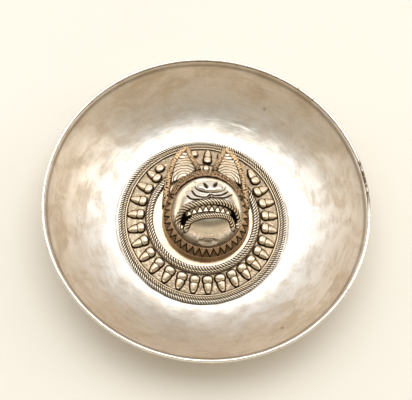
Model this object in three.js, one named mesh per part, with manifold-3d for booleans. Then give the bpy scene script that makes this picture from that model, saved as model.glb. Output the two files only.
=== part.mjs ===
// A raised silver bowl with an animal's head standing up in its middle.
// Millimetres, +Z up. The origin is the middle of the flat base, on the surface the bowl stands on,
// and the animal's ears point along +Y, its chin along -Y.
//
// The bowl is one raised sheet with a flattened wire round its lip. On its floor lies a domed medallion
// plate with embossed pods, edged by twisted wires. The head is built up on the plate from a gilt collar,
// a gilt brow, two ears and a hollow muzzle with a mouth let into it. All of it is soldered, so nothing moves.

import * as THREE from 'three';
import { mergeVertices } from 'three/addons/utils/BufferGeometryUtils.js';
import Module from 'manifold-3d';

const wasm = await Module();
wasm.setup();

// Driving dimensions of the bowl
const RIM_RADIUS = 105;
const RIM_HEIGHT = 34.5;
const SHEET = 1.2;
const FLOOR_RADIUS = 57;
const BASE_OUTER_RADIUS = 55;
const BASE_INNER_RADIUS = 38;
const RECESS_RADIUS = 33;
const RECESS_DEPTH = 2.6;
const WALL_POWER = 1.7;
const OUT_OF_ROUND = 0.28;
const SEAM = 0.3;

// Driving dimensions of the rim wire
const RIM_WIRE_WIDTH = 2.1;
const RIM_WIRE_HEIGHT = 1.9;

// Driving dimensions of the medallion, which sits a little to one side of the bowl's centre
const MEDALLION_X = -1.03;
const MEDALLION_Y = 0.17;
const MEDALLION_SHORT = 0.985;
const MEDALLION_LONG = 1.015;
const PLATE_RADIUS = 54;
const PLATE_SHEET = 0.7;
const PLATE_EDGE_TOP = 2.1;
const DOME_TOP = 7.0;
const DOME_FLAT_RADIUS = 32.5;

// The twisted wires: middle radius of each ring and radius of its wire
const OUTER_CORD = { ring: 55.35, wire: 1.15 };
const OUTER_SMALL_CORD = { ring: 52.9, wire: 0.8 };
const PLAIN_WIRE = { ring: 51.4, wire: 0.5 };
const INNER_CORD = { ring: 34.7, wire: 1.2, from: 136, to: 387 };
const INNER_SMALL_CORD = { ring: 36.75, wire: 0.7, from: 133, to: 392 };

// The pods embossed in the plate
const POD_COUNT = 22;
const POD_FIRST_ANGLE = 137;
const POD_STEP = 11.94;
const POD_BUNCHING = 5.6;
const POD_INNER_RADIUS = 39.2;
const POD_LENGTH = 11.4;
const POD_WIDTH = 6.2;
const POD_SUNK = 0.5;

// Driving dimensions of the head, in its own frame: its axis stands beside the medallion's
const HEAD_X = 1.75;
const HEAD_TURN = -1;
const NECK_Y = -1.8;
const BALL_Y = -1.0;
const COLLAR_FOOT_RADIUS = 28.9;
const COLLAR_SHOULDER_RADIUS = 28.1;
const COLLAR_SHOULDER_Z = 12.8;
const COLLAR_TOP_RADIUS = 23.9;
const COLLAR_TOP_Z = 17.2;
const COLLAR_SHEET = 0.9;
const BROW_HALF_ANGLE = 59;
const BROW_FOOT_RADIUS = 33.6;
const BROW_RIDGE_Z = 24.5;
const BALL_RADIUS = 23.2;
const BALL_HEIGHT = 20.5;
const BALL_Z = 19.1;
const BALL_SHEET = 1.2;
const UPPER_LIP_WIRE = 2.0;
const LOWER_LIP_WIRE = 1.5;
const NOSE = { x: 1.0, y: 10.8, halfWidth: 9.2, halfHeight: 4.8, raised: 1.9 };
const EAR_SHEET = 0.8;
const BEAD_RADIUS = 2.4;

const SILVER = '#c8bfb0';
const DARK_SILVER = '#8f8373';
const GILT = '#b08a52';

const degrees = THREE.MathUtils.degToRad;
const mix = THREE.MathUtils.lerp;
const ease = THREE.MathUtils.smoothstep;

// Solids and meshes

function toSolid(geometry) {
  const bare = geometry.clone();
  bare.deleteAttribute('normal');
  bare.deleteAttribute('uv');
  const merged = mergeVertices(bare, 1e-5);
  return new wasm.Manifold(new wasm.Mesh({
    numProp: 3,
    vertProperties: new Float32Array(merged.attributes.position.array),
    triVerts: new Uint32Array(merged.index.array),
  }));
}

function toGeometry(solid) {
  const faces = solid.getMesh();
  const geometry = new THREE.BufferGeometry();
  geometry.setAttribute('position', new THREE.BufferAttribute(new Float32Array(faces.vertProperties), 3));
  geometry.setIndex(new THREE.BufferAttribute(new Uint32Array(faces.triVerts), 1));
  return geometry;
}

function cutFree(geometry, neighbours) {
  let solid = toSolid(geometry);
  for (const neighbour of neighbours) {
    solid = solid.subtract(toSolid(neighbour));
  }
  return toGeometry(solid);
}

function mirrored(geometry) {
  const copy = geometry.clone();
  copy.scale(-1, 1, 1);
  const index = copy.index;
  for (let i = 0; i < index.count; i += 3) {
    const second = index.getX(i + 1);
    index.setX(i + 1, index.getX(i + 2));
    index.setX(i + 2, second);
  }
  return copy;
}

// A body turned about the Z axis from an outline of [radius, height] points
function turned(outline, segments) {
  const points = outline.map(([radius, height]) => new THREE.Vector2(radius, height));
  const geometry = new THREE.LatheGeometry(points, segments);
  geometry.rotateX(Math.PI / 2);
  return geometry;
}

// Moves every corner of a body to the point that place(x, y, z) gives
function reshaped(geometry, place) {
  const corners = geometry.attributes.position;
  for (let i = 0; i < corners.count; i += 1) {
    const [x, y, z] = place(corners.getX(i), corners.getY(i), corners.getZ(i));
    corners.setXYZ(i, x, y, z);
  }
  return geometry;
}

// A plate bent to shape: place(u, v, w) gives the point at fractions u and v of its face and w of its thickness
function bentPlate(uSteps, vSteps, place) {
  const flat = new THREE.BoxGeometry(1, 1, 1, uSteps, vSteps, 1);
  return reshaped(flat, (x, y, z) => place(x + 0.5, y + 0.5, z + 0.5));
}

// A round bar bent to shape: place(t, across, up) gives the point of its skin at fraction t of its length
function bentBar(steps, sides, place) {
  const straight = new THREE.CylinderGeometry(1, 1, 1, sides, steps);
  return reshaped(straight, (x, y, z) => place(y + 0.5, x, z));
}

function smoothPath(points) {
  return new THREE.CatmullRomCurve3(points.map(([x, y, z = 0]) => new THREE.Vector3(x, y, z)));
}

function metal(colour, roughness) {
  return new THREE.MeshStandardMaterial({ color: colour, roughness, metalness: 1 });
}

function piece(name, geometry, material) {
  const mesh = new THREE.Mesh(geometry, material);
  mesh.name = name;
  return mesh;
}

// The bowl: one raised sheet, flat under its floor, with the middle of the floor pushed up

const LIP_HEIGHT = RIM_HEIGHT - RIM_WIRE_HEIGHT - SEAM;
const LIP_RADIUS = RIM_RADIUS - 2.0;

function wallHeight(radius) {
  const out = Math.max(0, (radius - FLOOR_RADIUS) / (LIP_RADIUS - FLOOR_RADIUS));
  return SHEET + (LIP_HEIGHT - SHEET) * out ** WALL_POWER;
}

function wallSlope(radius) {
  return Math.atan((wallHeight(radius + 0.01) - wallHeight(radius - 0.01)) / 0.02);
}

// Hammering leaves the mouth of the bowl a little oval
function outOfRound(geometry) {
  return reshaped(geometry, (x, y, z) => {
    const radius = Math.hypot(x, y);
    const upTheWall = ease(radius, FLOOR_RADIUS, RIM_RADIUS);
    const angle = Math.atan2(y, x);
    const swell = OUT_OF_ROUND * (Math.cos(2 * angle) + 0.3 * Math.cos(4 * angle - 2.6)) * upTheWall;
    const factor = radius > 0 ? (radius + swell) / radius : 1;
    return [x * factor, y * factor, z];
  });
}

function bowlShell() {
  const wallSteps = 8;
  const inside = [];
  const outside = [];
  for (let i = 0; i <= wallSteps; i += 1) {
    const radius = mix(FLOOR_RADIUS + 1, LIP_RADIUS, i / wallSteps);
    const slope = wallSlope(radius);
    inside.push([radius, wallHeight(radius)]);
    outside.push([radius + SHEET * Math.sin(slope), wallHeight(radius) - SHEET * Math.cos(slope)]);
  }
  outside[wallSteps] = [LIP_RADIUS + SHEET / Math.sin(wallSlope(LIP_RADIUS)), LIP_HEIGHT];
  outside[0] = [BASE_OUTER_RADIUS, 0];
  const under = [[0, RECESS_DEPTH], [RECESS_RADIUS, RECESS_DEPTH], [BASE_INNER_RADIUS, 0]];
  const floor = [[BASE_INNER_RADIUS, SHEET], [RECESS_RADIUS, RECESS_DEPTH + SHEET], [0, RECESS_DEPTH + SHEET]];
  return outOfRound(turned([...under, ...outside, ...inside.reverse(), ...floor], 72));
}

// The lip is stiffened by a flattened wire laid on its edge, which stands a little proud on both sides
function rimWire() {
  const middle = RIM_RADIUS - RIM_WIRE_WIDTH / 2;
  const bottom = LIP_HEIGHT + SEAM;
  const half = RIM_WIRE_WIDTH / 2;
  const shoulder = 0.65 * RIM_WIRE_HEIGHT;
  const outline = [
    [middle - 0.75 * half, bottom],
    [middle + 0.75 * half, bottom],
    [middle + half, bottom + 0.35 * RIM_WIRE_HEIGHT],
    [middle + half, bottom + shoulder],
    [middle + 0.55 * half, bottom + RIM_WIRE_HEIGHT],
    [middle - 0.55 * half, bottom + RIM_WIRE_HEIGHT],
    [middle - half, bottom + shoulder],
    [middle - half, bottom + 0.35 * RIM_WIRE_HEIGHT],
    [middle - 0.75 * half, bottom],
  ];
  return outOfRound(turned(outline, 72));
}

// The medallion plate: flat round the head, then falling to the floor under the pods

function plateTop(radius) {
  if (radius <= DOME_FLAT_RADIUS) {
    return DOME_TOP;
  }
  if (radius <= 37.5) {
    return mix(DOME_TOP, 6.3, (radius - DOME_FLAT_RADIUS) / (37.5 - DOME_FLAT_RADIUS));
  }
  if (radius <= 51.2) {
    return mix(6.3, 2.5, (radius - 37.5) / (51.2 - 37.5));
  }
  return mix(2.5, PLATE_EDGE_TOP, (radius - 51.2) / (PLATE_RADIUS - 51.2));
}

// A pod has a round head at its inner end, a groove behind it and a body that tapers to a blunt tip
function pod({ angle, radius, length, width, lean = 0 }) {
  const half = width / 2;
  const outline = [
    [0, 0],
    [0.72 * half, 0.06 * length],
    [half, 0.22 * length],
    [0.74 * half, 0.4 * length],
    [0.88 * half, 0.5 * length],
    [0.52 * half, 0.93 * length],
    [0, length],
  ];
  const points = outline.map(([across, along]) => new THREE.Vector2(across, along));
  const geometry = new THREE.LatheGeometry(points, 8);
  geometry.rotateX(Math.PI / 2);
  geometry.rotateY(Math.PI / 2);
  const outward = length * Math.cos(degrees(lean));
  const fall = Math.atan2(plateTop(radius) - plateTop(radius + outward), length);
  geometry.rotateY(fall);
  geometry.rotateZ(degrees(lean));
  geometry.translate(radius, 0, plateTop(radius) - POD_SUNK);
  geometry.rotateZ(degrees(angle));
  return geometry;
}

function podPlaces() {
  const places = [];
  for (let i = 0; i < POD_COUNT; i += 1) {
    const bunched = POD_BUNCHING * Math.sin(Math.PI * Math.min(i, 17) / 17);
    const angle = POD_FIRST_ANGLE + POD_STEP * i + bunched;
    places.push({ angle, radius: POD_INNER_RADIUS, length: POD_LENGTH, width: POD_WIDTH });
  }
  places.push({ angle: 128.5, radius: 43.2, length: 6.6, width: 6.0 });
  places.push({ angle: 34.4, radius: 45.3, length: 12, width: 6.6, lean: 84 });
  places.push({ angle: 85, radius: POD_INNER_RADIUS, length: POD_LENGTH, width: 5.6 });
  places.push({ angle: 96.5, radius: 44.6, length: 6.0, width: 5.0 });
  places.push({ angle: 73.5, radius: 44.6, length: 6.0, width: 5.0 });
  return places;
}

function medallionPlate(ears) {
  const radii = [DOME_FLAT_RADIUS, 37.5, 44.4, 51.2, PLATE_RADIUS];
  const top = radii.map((radius) => [radius, plateTop(radius)]);
  const under = radii.map((radius) => [radius, plateTop(radius) - PLATE_SHEET]);
  const outline = [[0, DOME_TOP - PLATE_SHEET], ...under, ...top.reverse(), [0, DOME_TOP]];
  let plate = toSolid(turned(outline, 48));
  const middle = radii.map((radius) => [radius, plateTop(radius) - PLATE_SHEET / 2]);
  const above = [[0, DOME_TOP - PLATE_SHEET / 2], ...middle, [PLATE_RADIUS, 20], [0, 20]];
  const upperSide = toSolid(turned(above, 48));
  for (const place of podPlaces()) {
    let raised = toSolid(pod(place)).intersect(upperSide);
    for (const ear of ears) {
      raised = raised.subtract(toSolid(ear));
    }
    plate = plate.add(raised);
  }
  return toGeometry(plate);
}

// Twisted wires lie on the plate, and the largest lies on the bowl's floor against the plate's edge

function wireRing({ ring, wire }, height) {
  const geometry = new THREE.TorusGeometry(ring, wire, 6, 60);
  geometry.translate(0, 0, height);
  return geometry;
}

function wireArc({ ring, wire, from, to }, height) {
  return bentBar(42, 6, (t, across, up) => {
    const angle = degrees(mix(from, to, t));
    const radius = ring + wire * across;
    return [radius * Math.cos(angle), radius * Math.sin(angle), height + wire * up];
  });
}

// The head. Its pieces are in the head's own frame, whose axis is HEAD_X from the medallion's.

function plateUnderHead(x, y) {
  return plateTop(Math.hypot((x + HEAD_X) / MEDALLION_SHORT, y / MEDALLION_LONG));
}

// A point on the muzzle ball above plan place (x, y) from the ball's middle, raised by lift
function onBall(x, y, lift) {
  const height = Math.sqrt(Math.max(0, 1 - (x * x + y * y) / BALL_RADIUS ** 2));
  const out = (BALL_RADIUS + lift) / BALL_RADIUS;
  return [x * out, BALL_Y + y * out, BALL_Z + height * (BALL_HEIGHT + lift)];
}

function ballRadiusAt(z) {
  return BALL_RADIUS * Math.sqrt(Math.max(0, 1 - ((z - BALL_Z) / BALL_HEIGHT) ** 2));
}

// The middle of the neck moves towards the ears as it rises to the ball
function neckY(z) {
  return mix(NECK_Y, BALL_Y, ease(z, COLLAR_SHOULDER_Z - 1, COLLAR_TOP_Z - 1));
}

// A steep gilt collar stands on the plate and leans in against the muzzle. The brow takes its place behind.
function neckCollar() {
  const outline = [
    [COLLAR_FOOT_RADIUS - COLLAR_SHEET, DOME_TOP + SEAM],
    [COLLAR_FOOT_RADIUS, DOME_TOP + SEAM],
    [COLLAR_SHOULDER_RADIUS, COLLAR_SHOULDER_Z],
    [mix(COLLAR_SHOULDER_RADIUS, COLLAR_TOP_RADIUS, 0.5), mix(COLLAR_SHOULDER_Z, COLLAR_TOP_Z, 0.56)],
    [COLLAR_TOP_RADIUS, COLLAR_TOP_Z],
    [COLLAR_TOP_RADIUS - 0.4, COLLAR_TOP_Z - 0.9],
    [COLLAR_SHOULDER_RADIUS - COLLAR_SHEET - 0.3, COLLAR_SHOULDER_Z - 0.5],
    [COLLAR_FOOT_RADIUS - COLLAR_SHEET, DOME_TOP + SEAM],
  ];
  const ring = reshaped(turned(outline, 54), (x, y, z) => [x, y + neckY(z), z]);
  const reach = 60;
  const side = reach * Math.tan(degrees(BROW_HALF_ANGLE));
  const wedge = new THREE.Shape([
    new THREE.Vector2(0, NECK_Y),
    new THREE.Vector2(side, NECK_Y + reach),
    new THREE.Vector2(-side, NECK_Y + reach),
  ]);
  const cutter = new THREE.ExtrudeGeometry(wedge, { depth: 40, bevelEnabled: false });
  return toGeometry(toSolid(ring).subtract(toSolid(cutter)));
}

// The brow: a gilt sheet that stands on the plate between the ears and leans back against the ball
function browBand() {
  return bentPlate(20, 5, (u, v, w) => {
    const fromMiddle = mix(-1, 1, u);
    const angle = degrees(90 + fromMiddle * (BROW_HALF_ANGLE - 0.8));
    const rise = Math.cos(fromMiddle * Math.PI / 2);
    const foot = mix(COLLAR_FOOT_RADIUS, BROW_FOOT_RADIUS, rise ** 0.8);
    const shoulder = foot - 0.8;
    const ridgeZ = mix(COLLAR_TOP_Z, BROW_RIDGE_Z, rise);
    const ridge = ballRadiusAt(ridgeZ) + SEAM;
    const kneeAt = 0.4;
    const upper = Math.max(0, (v - kneeAt) / (1 - kneeAt));
    const lower = Math.min(1, v / kneeAt);
    const bulge = 0.9 * Math.sin(Math.PI * upper);
    const thickness = COLLAR_SHEET * w;
    const radius = v <= kneeAt ? mix(foot, shoulder, lower) : mix(shoulder, ridge, upper) + bulge;
    const z = v <= kneeAt
      ? mix(DOME_TOP + SEAM, COLLAR_SHOULDER_Z, lower)
      : mix(COLLAR_SHOULDER_Z, ridgeZ, upper) + bulge;
    const out = radius + thickness * mix(1, 0.75, upper) - COLLAR_SHEET * (1 - upper);
    const lift = thickness * 0.6 * upper;
    return [out * Math.cos(angle), neckY(z) + out * Math.sin(angle), z + lift];
  });
}

// Each ear is a dished silver panel between raised gilt rims that meet at its tip

const EAR_OUTER_RIM = {
  path: smoothPath([
    [26.6, 5], [26.3, 13], [25.7, 20], [24.3, 29.5], [22.7, 36.4], [20.2, 42.7], [17, 47.6], [13.4, 51.2],
  ]),
  rootHalfWidth: 2.25,
  tipHalfWidth: 1.5,
};
const EAR_INNER_RIM = {
  path: smoothPath([[5.1, 32.7], [6.8, 37.2], [9.0, 41.6], [11.1, 46.5], [12.7, 51.2]]),
  rootHalfWidth: 1.8,
  tipHalfWidth: 1.3,
};
const EAR_PANEL_ROOT = { outer: 0.37, inner: 0.05 };
const EAR_PANEL_TIP = { outer: 0.92, inner: 0.86 };

// Both ears are drawn as the right one, side 1, and the left one, side -1, is its mirror image.
// Their feet follow the plate, which falls away differently under each, and their tips ride over the wires.
function earFoot(side, x, y) {
  const radius = Math.hypot(side * x + HEAD_X, y);
  return plateUnderHead(side * x, y) + SEAM + 1.7 * ease(radius, 45, 51.5);
}

function onItsSide(side, geometry) {
  return side > 0 ? geometry : mirrored(geometry);
}

// A rim's half width at fraction t of its way to the tip
function rimHalfWidth(rim, t) {
  return mix(rim.rootHalfWidth, rim.tipHalfWidth, t);
}

// The place just clear of a rim, on its right (direction 1) or left (direction -1) as it runs to the tip
function besideRim(rim, t, direction) {
  const point = rim.path.getPointAt(t);
  const along = rim.path.getTangentAt(t);
  const offset = direction * (rimHalfWidth(rim, t) + 0.15);
  return { x: point.x + along.y * offset, y: point.y - along.x * offset };
}

function earPanel(side) {
  return onItsSide(side, bentPlate(8, 10, (u, v, w) => {
    const outer = besideRim(EAR_OUTER_RIM, mix(EAR_PANEL_ROOT.outer, EAR_PANEL_TIP.outer, v), -1);
    const inner = besideRim(EAR_INNER_RIM, mix(EAR_PANEL_ROOT.inner, EAR_PANEL_TIP.inner, v), 1);
    const x = mix(inner.x, outer.x, u);
    const y = mix(inner.y, outer.y, u);
    const edge = Math.abs(2 * u - 1);
    const dish = mix(1.4, 0.5, v) * (1 - edge * edge);
    const height = mix(3.6, 1.2, v) - dish;
    return [x, y, earFoot(side, x, y) + height + EAR_SHEET * w];
  }));
}

function earRimStrip(side, rim, margin) {
  return bentBar(14, 8, (t, across, up) => {
    const point = rim.path.getPointAt(t);
    const along = rim.path.getTangentAt(t);
    const halfWidth = margin + rimHalfWidth(rim, t);
    const halfHeight = mix(2.5, 1.1, t);
    const x = point.x + along.y * across * halfWidth;
    const y = point.y - along.x * across * halfWidth;
    return [x, y, earFoot(side, point.x, point.y) - margin + (halfHeight + margin) * (1 + up)];
  });
}

function earRim(side, margin = 0) {
  const neck = new THREE.CylinderGeometry(COLLAR_FOOT_RADIUS + SEAM, COLLAR_FOOT_RADIUS + SEAM, 60, 54);
  neck.rotateX(Math.PI / 2);
  neck.translate(0, NECK_Y, 0);
  const outer = toSolid(earRimStrip(side, EAR_OUTER_RIM, margin));
  const inner = toSolid(earRimStrip(side, EAR_INNER_RIM, margin));
  return onItsSide(side, toGeometry(outer.add(inner).subtract(toSolid(neck))));
}

// The room that an ear's rim needs among the pods, in the medallion's own frame
function earRoom(side) {
  const room = earRim(side, SEAM);
  room.rotateZ(degrees(HEAD_TURN));
  room.translate(HEAD_X, 0, 0);
  room.scale(1 / MEDALLION_SHORT, 1 / MEDALLION_LONG, 1);
  return room;
}

function crownBead() {
  const geometry = new THREE.SphereGeometry(BEAD_RADIUS, 10, 7);
  geometry.scale(1, 1, 0.75);
  geometry.translate(0, 34.6, DOME_TOP + SEAM + 0.75 * BEAD_RADIUS);
  return geometry;
}

// The mouth: an arch on the ball, measured in plan from the ball's middle

// The mouth hangs a little lower at the left of the picture
const MOUTH_TILT = 0.05;

const UPPER_LIP_PATH = [
  [-15.9, -14.3], [-17.9, -11.9], [-18.3, -9.3], [-17.2, -6.0], [-15.2, -4.0], [-11.2, -2.6], [-5.0, -1.5],
  [0.9, -0.7], [7.2, -0.4], [13.4, -1.3], [17.2, -3.3], [19.4, -6.9], [19.4, -9.8], [17.8, -12.4],
];
const LOWER_LIP_PATH = [
  [-13.6, -15.0], [-12.4, -12.4], [-9.8, -10.9], [-4.7, -9.8], [1.0, -9.2], [7.9, -8.5], [12.3, -8.9],
  [14.7, -10.7], [15.9, -13.2],
];

function lipBar(points, wire) {
  const path = smoothPath(points);
  return bentBar(32, 6, (t, across, up) => {
    const point = path.getPointAt(t);
    const along = path.getTangentAt(t);
    const [x, y, z] = onBall(point.x, point.y, 0.2);
    const outward = new THREE.Vector3(
      point.x / BALL_RADIUS ** 2,
      point.y / BALL_RADIUS ** 2,
      (z - BALL_Z) / BALL_HEIGHT ** 2,
    ).normalize();
    const ahead = onBall(point.x + 0.05 * along.x, point.y + 0.05 * along.y, 0.2);
    const forward = new THREE.Vector3(ahead[0] - x, ahead[1] - y, ahead[2] - z).normalize();
    const sideways = new THREE.Vector3().crossVectors(forward, outward);
    return [
      x + wire * (sideways.x * across + outward.x * up),
      y + wire * (sideways.y * across + outward.y * up),
      z + wire * (sideways.z * across + outward.z * up),
    ];
  });
}

// The hole in the ball follows the middle of the lips
function mouthHole() {
  const loop = [...UPPER_LIP_PATH, ...[...LOWER_LIP_PATH].reverse()];
  const shape = new THREE.Shape(loop.map(([x, y]) => new THREE.Vector2(x, y + BALL_Y)));
  const geometry = new THREE.ExtrudeGeometry(shape, { depth: 30, bevelEnabled: false });
  geometry.translate(0, 0, BALL_Z + 1);
  return geometry;
}

// The muzzle is a hollow ball, open below, that drops a little way into the collar
function muzzleShell(lips) {
  const lowest = -0.17;
  const steps = 9;
  const outside = [];
  const inside = [];
  for (let i = 0; i <= steps; i += 1) {
    const angle = mix(Math.PI / 2, lowest, i / steps);
    outside.push([BALL_RADIUS * Math.cos(angle), BALL_Z + BALL_HEIGHT * Math.sin(angle)]);
    inside.push([
      (BALL_RADIUS - BALL_SHEET) * Math.cos(angle),
      BALL_Z + (BALL_HEIGHT - BALL_SHEET) * Math.sin(angle),
    ]);
  }
  outside[0][0] = 0;
  inside[0][0] = 0;
  const shell = turned([...inside, ...outside.reverse()], 42);
  shell.translate(0, BALL_Y, 0);
  let solid = toSolid(shell).subtract(toSolid(mouthHole()));
  for (const lip of lips) {
    solid = solid.subtract(toSolid(lip));
  }
  return toGeometry(solid);
}

function upperEdge(x) {
  return 0.3 + MOUTH_TILT * x - 9.4 * (Math.abs(x) / 20) ** 4;
}

function lowerEdge(x) {
  return -10.9 + MOUTH_TILT * x - 3.4 * ease(Math.abs(x), 11, 15.5);
}

// A dark lining dishes in behind the mouth hole and carries the teeth
function mouthLining() {
  const reach = 18.6;
  return bentPlate(16, 6, (u, v, w) => {
    const x = mix(-reach, reach, u);
    const y = mix(lowerEdge(x), upperEdge(x), v);
    const middle = (1 - Math.abs(2 * u - 1) ** 4) * (1 - Math.abs(2 * v - 1) ** 3);
    const lift = -(BALL_SHEET + SEAM + 0.7 + 1.7 * middle) - 0.8 * (1 - w);
    return onBall(x, y, lift);
  });
}

function teethStrip({ reach, top, bottom, low, high }) {
  return bentPlate(18, 1, (u, v, w) => {
    const x = mix(-reach, reach, u);
    const y = mix(bottom(x), top(x), v);
    return onBall(x, y, mix(low, high, w));
  });
}

const UPPER_TEETH = {
  reach: 14.6,
  top: (x) => -3.1 + MOUTH_TILT * x - 2.6 * (Math.abs(x) / 15) ** 3,
  bottom: (x) => -6.7 + MOUTH_TILT * x - 1.3 * (Math.abs(x) / 15) ** 2,
  low: -3.0,
  high: -0.5,
};
const LOWER_TEETH = {
  reach: 11.5,
  top: (x) => -7.1 + MOUTH_TILT * x - 1.3 * (Math.abs(x) / 15) ** 2,
  bottom: (x) => -8.8 + MOUTH_TILT * x - 1.3 * (Math.abs(x) / 15) ** 2,
  low: -3.0,
  high: -1.7,
};

// The nose is an oval button soldered on the ball, facing up and towards the ears
function noseDisc() {
  const button = turned([[0, 0], [0.4, 0], [0.75, 0], [1, 0], [1, 0.45], [0.84, 0.88], [0.5, 1], [0, 1]], 22);
  return reshaped(button, (x, y, z) => (
    onBall(NOSE.x + NOSE.halfWidth * x, NOSE.y + NOSE.halfHeight * y, SEAM + NOSE.raised * z)
  ));
}

// The pieces, put together

const bowl = new THREE.Group();
bowl.add(piece('bowl_shell', bowlShell(), metal(SILVER, 0.28)));
bowl.add(piece('rim_wire', rimWire(), metal(SILVER, 0.2)));

const medallion = new THREE.Group();
medallion.position.set(MEDALLION_X, MEDALLION_Y, 0);
medallion.scale.set(MEDALLION_SHORT, MEDALLION_LONG, 1);
const earRooms = [earRoom(1), earRoom(-1)];
medallion.add(piece('medallion_plate', medallionPlate(earRooms), metal(SILVER, 0.3)));

const cords = [
  ['outer_cord_large', wireRing(OUTER_CORD, SHEET + SEAM + OUTER_CORD.wire)],
  ['outer_cord_small', wireRing(OUTER_SMALL_CORD, plateTop(OUTER_SMALL_CORD.ring) + 0.1 + OUTER_SMALL_CORD.wire)],
  ['outer_plain_wire', wireRing(PLAIN_WIRE, plateTop(PLAIN_WIRE.ring) + 0.1 + PLAIN_WIRE.wire)],
  ['inner_cord_large', wireArc(INNER_CORD, plateTop(INNER_CORD.ring) + 0.25 + INNER_CORD.wire)],
  ['inner_cord_small', wireArc(INNER_SMALL_CORD, plateTop(INNER_SMALL_CORD.ring) + 0.25 + INNER_SMALL_CORD.wire)],
];
for (const [name, geometry] of cords) {
  medallion.add(piece(name, cutFree(geometry, earRooms), metal(SILVER, 0.35)));
}
bowl.add(medallion);

const head = new THREE.Group();
head.position.set(MEDALLION_X + HEAD_X, MEDALLION_Y, 0);
head.rotation.z = degrees(HEAD_TURN);
head.add(piece('neck_collar', neckCollar(), metal(GILT, 0.35)));
head.add(piece('brow_band', cutFree(browBand(), [earRim(1, SEAM), earRim(-1, SEAM)]), metal(GILT, 0.4)));
for (const [name, side] of [['right', 1], ['left', -1]]) {
  head.add(piece(`${name}_ear_panel`, earPanel(side), metal(SILVER, 0.35)));
  head.add(piece(`${name}_ear_rim`, earRim(side), metal(GILT, 0.35)));
}
head.add(piece('crown_bead', crownBead(), metal(SILVER, 0.35)));

const upperLip = lipBar(UPPER_LIP_PATH, UPPER_LIP_WIRE);
const upperLipCutter = lipBar(UPPER_LIP_PATH, UPPER_LIP_WIRE + SEAM);
const lowerLipCutter = lipBar(LOWER_LIP_PATH, LOWER_LIP_WIRE + SEAM);
const lowerLip = cutFree(lipBar(LOWER_LIP_PATH, LOWER_LIP_WIRE), [upperLipCutter]);
const lipCutters = [upperLipCutter, lowerLipCutter];
head.add(piece('muzzle_shell', muzzleShell(lipCutters), metal(SILVER, 0.2)));
head.add(piece('upper_lip', upperLip, metal(SILVER, 0.35)));
head.add(piece('lower_lip', lowerLip, metal(SILVER, 0.35)));
head.add(piece('mouth_lining', cutFree(mouthLining(), lipCutters), metal(DARK_SILVER, 0.5)));

const liningTop = cutFree(mouthLining(), []);
const upperTeeth = cutFree(teethStrip(UPPER_TEETH), [...lipCutters, liningTop]);
head.add(piece('upper_teeth', upperTeeth, metal(SILVER, 0.3)));
head.add(piece('lower_teeth', cutFree(teethStrip(LOWER_TEETH), [...lipCutters, liningTop]), metal(SILVER, 0.35)));
head.add(piece('nose_disc', noseDisc(), metal(SILVER, 0.25)));
bowl.add(head);

export default bowl;
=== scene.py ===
# %% [markdown]
# # A raised silver bowl with an animal's head
#
# The real bowl is one sheet of silver, raised with hammers from a flat disc. A domed medallion lies on its
# floor, edged by twisted wires, and an animal's head of several sheets is soldered together on top of it.
# This file rebuilds what the eye sees: every piece is a fine mesh made from the same sizes as the solids,
# and every metal has its own finish.

# %% Load the frame
import math

import bmesh
import bpy
import numpy as np
from mathutils import Matrix, Vector


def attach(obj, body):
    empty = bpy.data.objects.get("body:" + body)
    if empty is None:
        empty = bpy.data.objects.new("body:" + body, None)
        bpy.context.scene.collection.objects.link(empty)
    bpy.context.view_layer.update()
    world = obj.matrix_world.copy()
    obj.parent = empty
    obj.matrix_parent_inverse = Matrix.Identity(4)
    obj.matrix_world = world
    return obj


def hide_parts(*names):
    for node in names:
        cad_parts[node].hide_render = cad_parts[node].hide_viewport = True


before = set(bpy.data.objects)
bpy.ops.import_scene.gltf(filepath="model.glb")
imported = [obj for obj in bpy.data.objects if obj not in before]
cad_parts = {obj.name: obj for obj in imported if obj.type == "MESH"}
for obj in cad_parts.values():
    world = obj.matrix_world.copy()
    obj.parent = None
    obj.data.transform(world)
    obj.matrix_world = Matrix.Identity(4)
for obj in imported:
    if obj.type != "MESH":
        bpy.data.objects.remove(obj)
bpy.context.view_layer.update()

# %% [markdown]
# ## Sizes
#
# All sizes are in millimetres, as a silversmith would measure them, and only become metres when a mesh is
# made. They are the sizes of the solids, so each fine piece lands where its plain one is. The medallion is a
# little oval and lies slightly off the middle, and the head is turned by one degree, as hand work is.

# %% Sizes of the bowl, the medallion and the head
RIM_RADIUS = 105.0
RIM_HEIGHT = 34.5
SHEET = 1.2
FLOOR_RADIUS = 57.0
LIP_RADIUS = 103.0
LIP_HEIGHT = 32.3
WALL_POWER = 1.7
OUT_OF_ROUND = 0.28
SEAM = 0.3

MEDALLION = (-1.03, 0.17)
MEDALLION_SHORT = 0.985
MEDALLION_LONG = 1.015
PLATE_RADIUS = 54.0
PLATE_SHEET = 0.7
DOME_TOP = 7.0

HEAD_X = 1.75
HEAD_TURN = math.radians(-1)
NECK_Y = -1.8
BALL_Y = -1.0
BALL_Z = 19.1
BALL_RADIUS = 23.2
BALL_HEIGHT = 20.5
BALL_SHEET = 1.2

FULL_TURN = 2 * math.pi
print("bowl", 2 * RIM_RADIUS, "mm across, head", round(BALL_Z + BALL_HEIGHT, 1), "mm high")

# %% [markdown]
# ## Curves, places and hand work
#
# A tool mark is a soft hump or hollow, so one bell curve serves for all of them. Hammer marks come from a
# few dozen waves that cross at random angles: smooth, never repeating, and the same on every run.

# %% Curves and places
def mix(a, b, t):
    return a + (b - a) * t


def ease(x, low, high):
    """0 below low, 1 above high, and a smooth step between."""
    t = np.clip((np.asarray(x, float) - low) / (high - low), 0, 1)
    return t * t * (3 - 2 * t)


def hump(distance, width):
    """A bell curve: 1 at no distance, nearly nothing past two widths."""
    return np.exp(-((distance / width) ** 2))


def full_circle(steps):
    """Angles round a whole turn."""
    return np.linspace(0, FULL_TURN, steps, endpoint=False)


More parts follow.
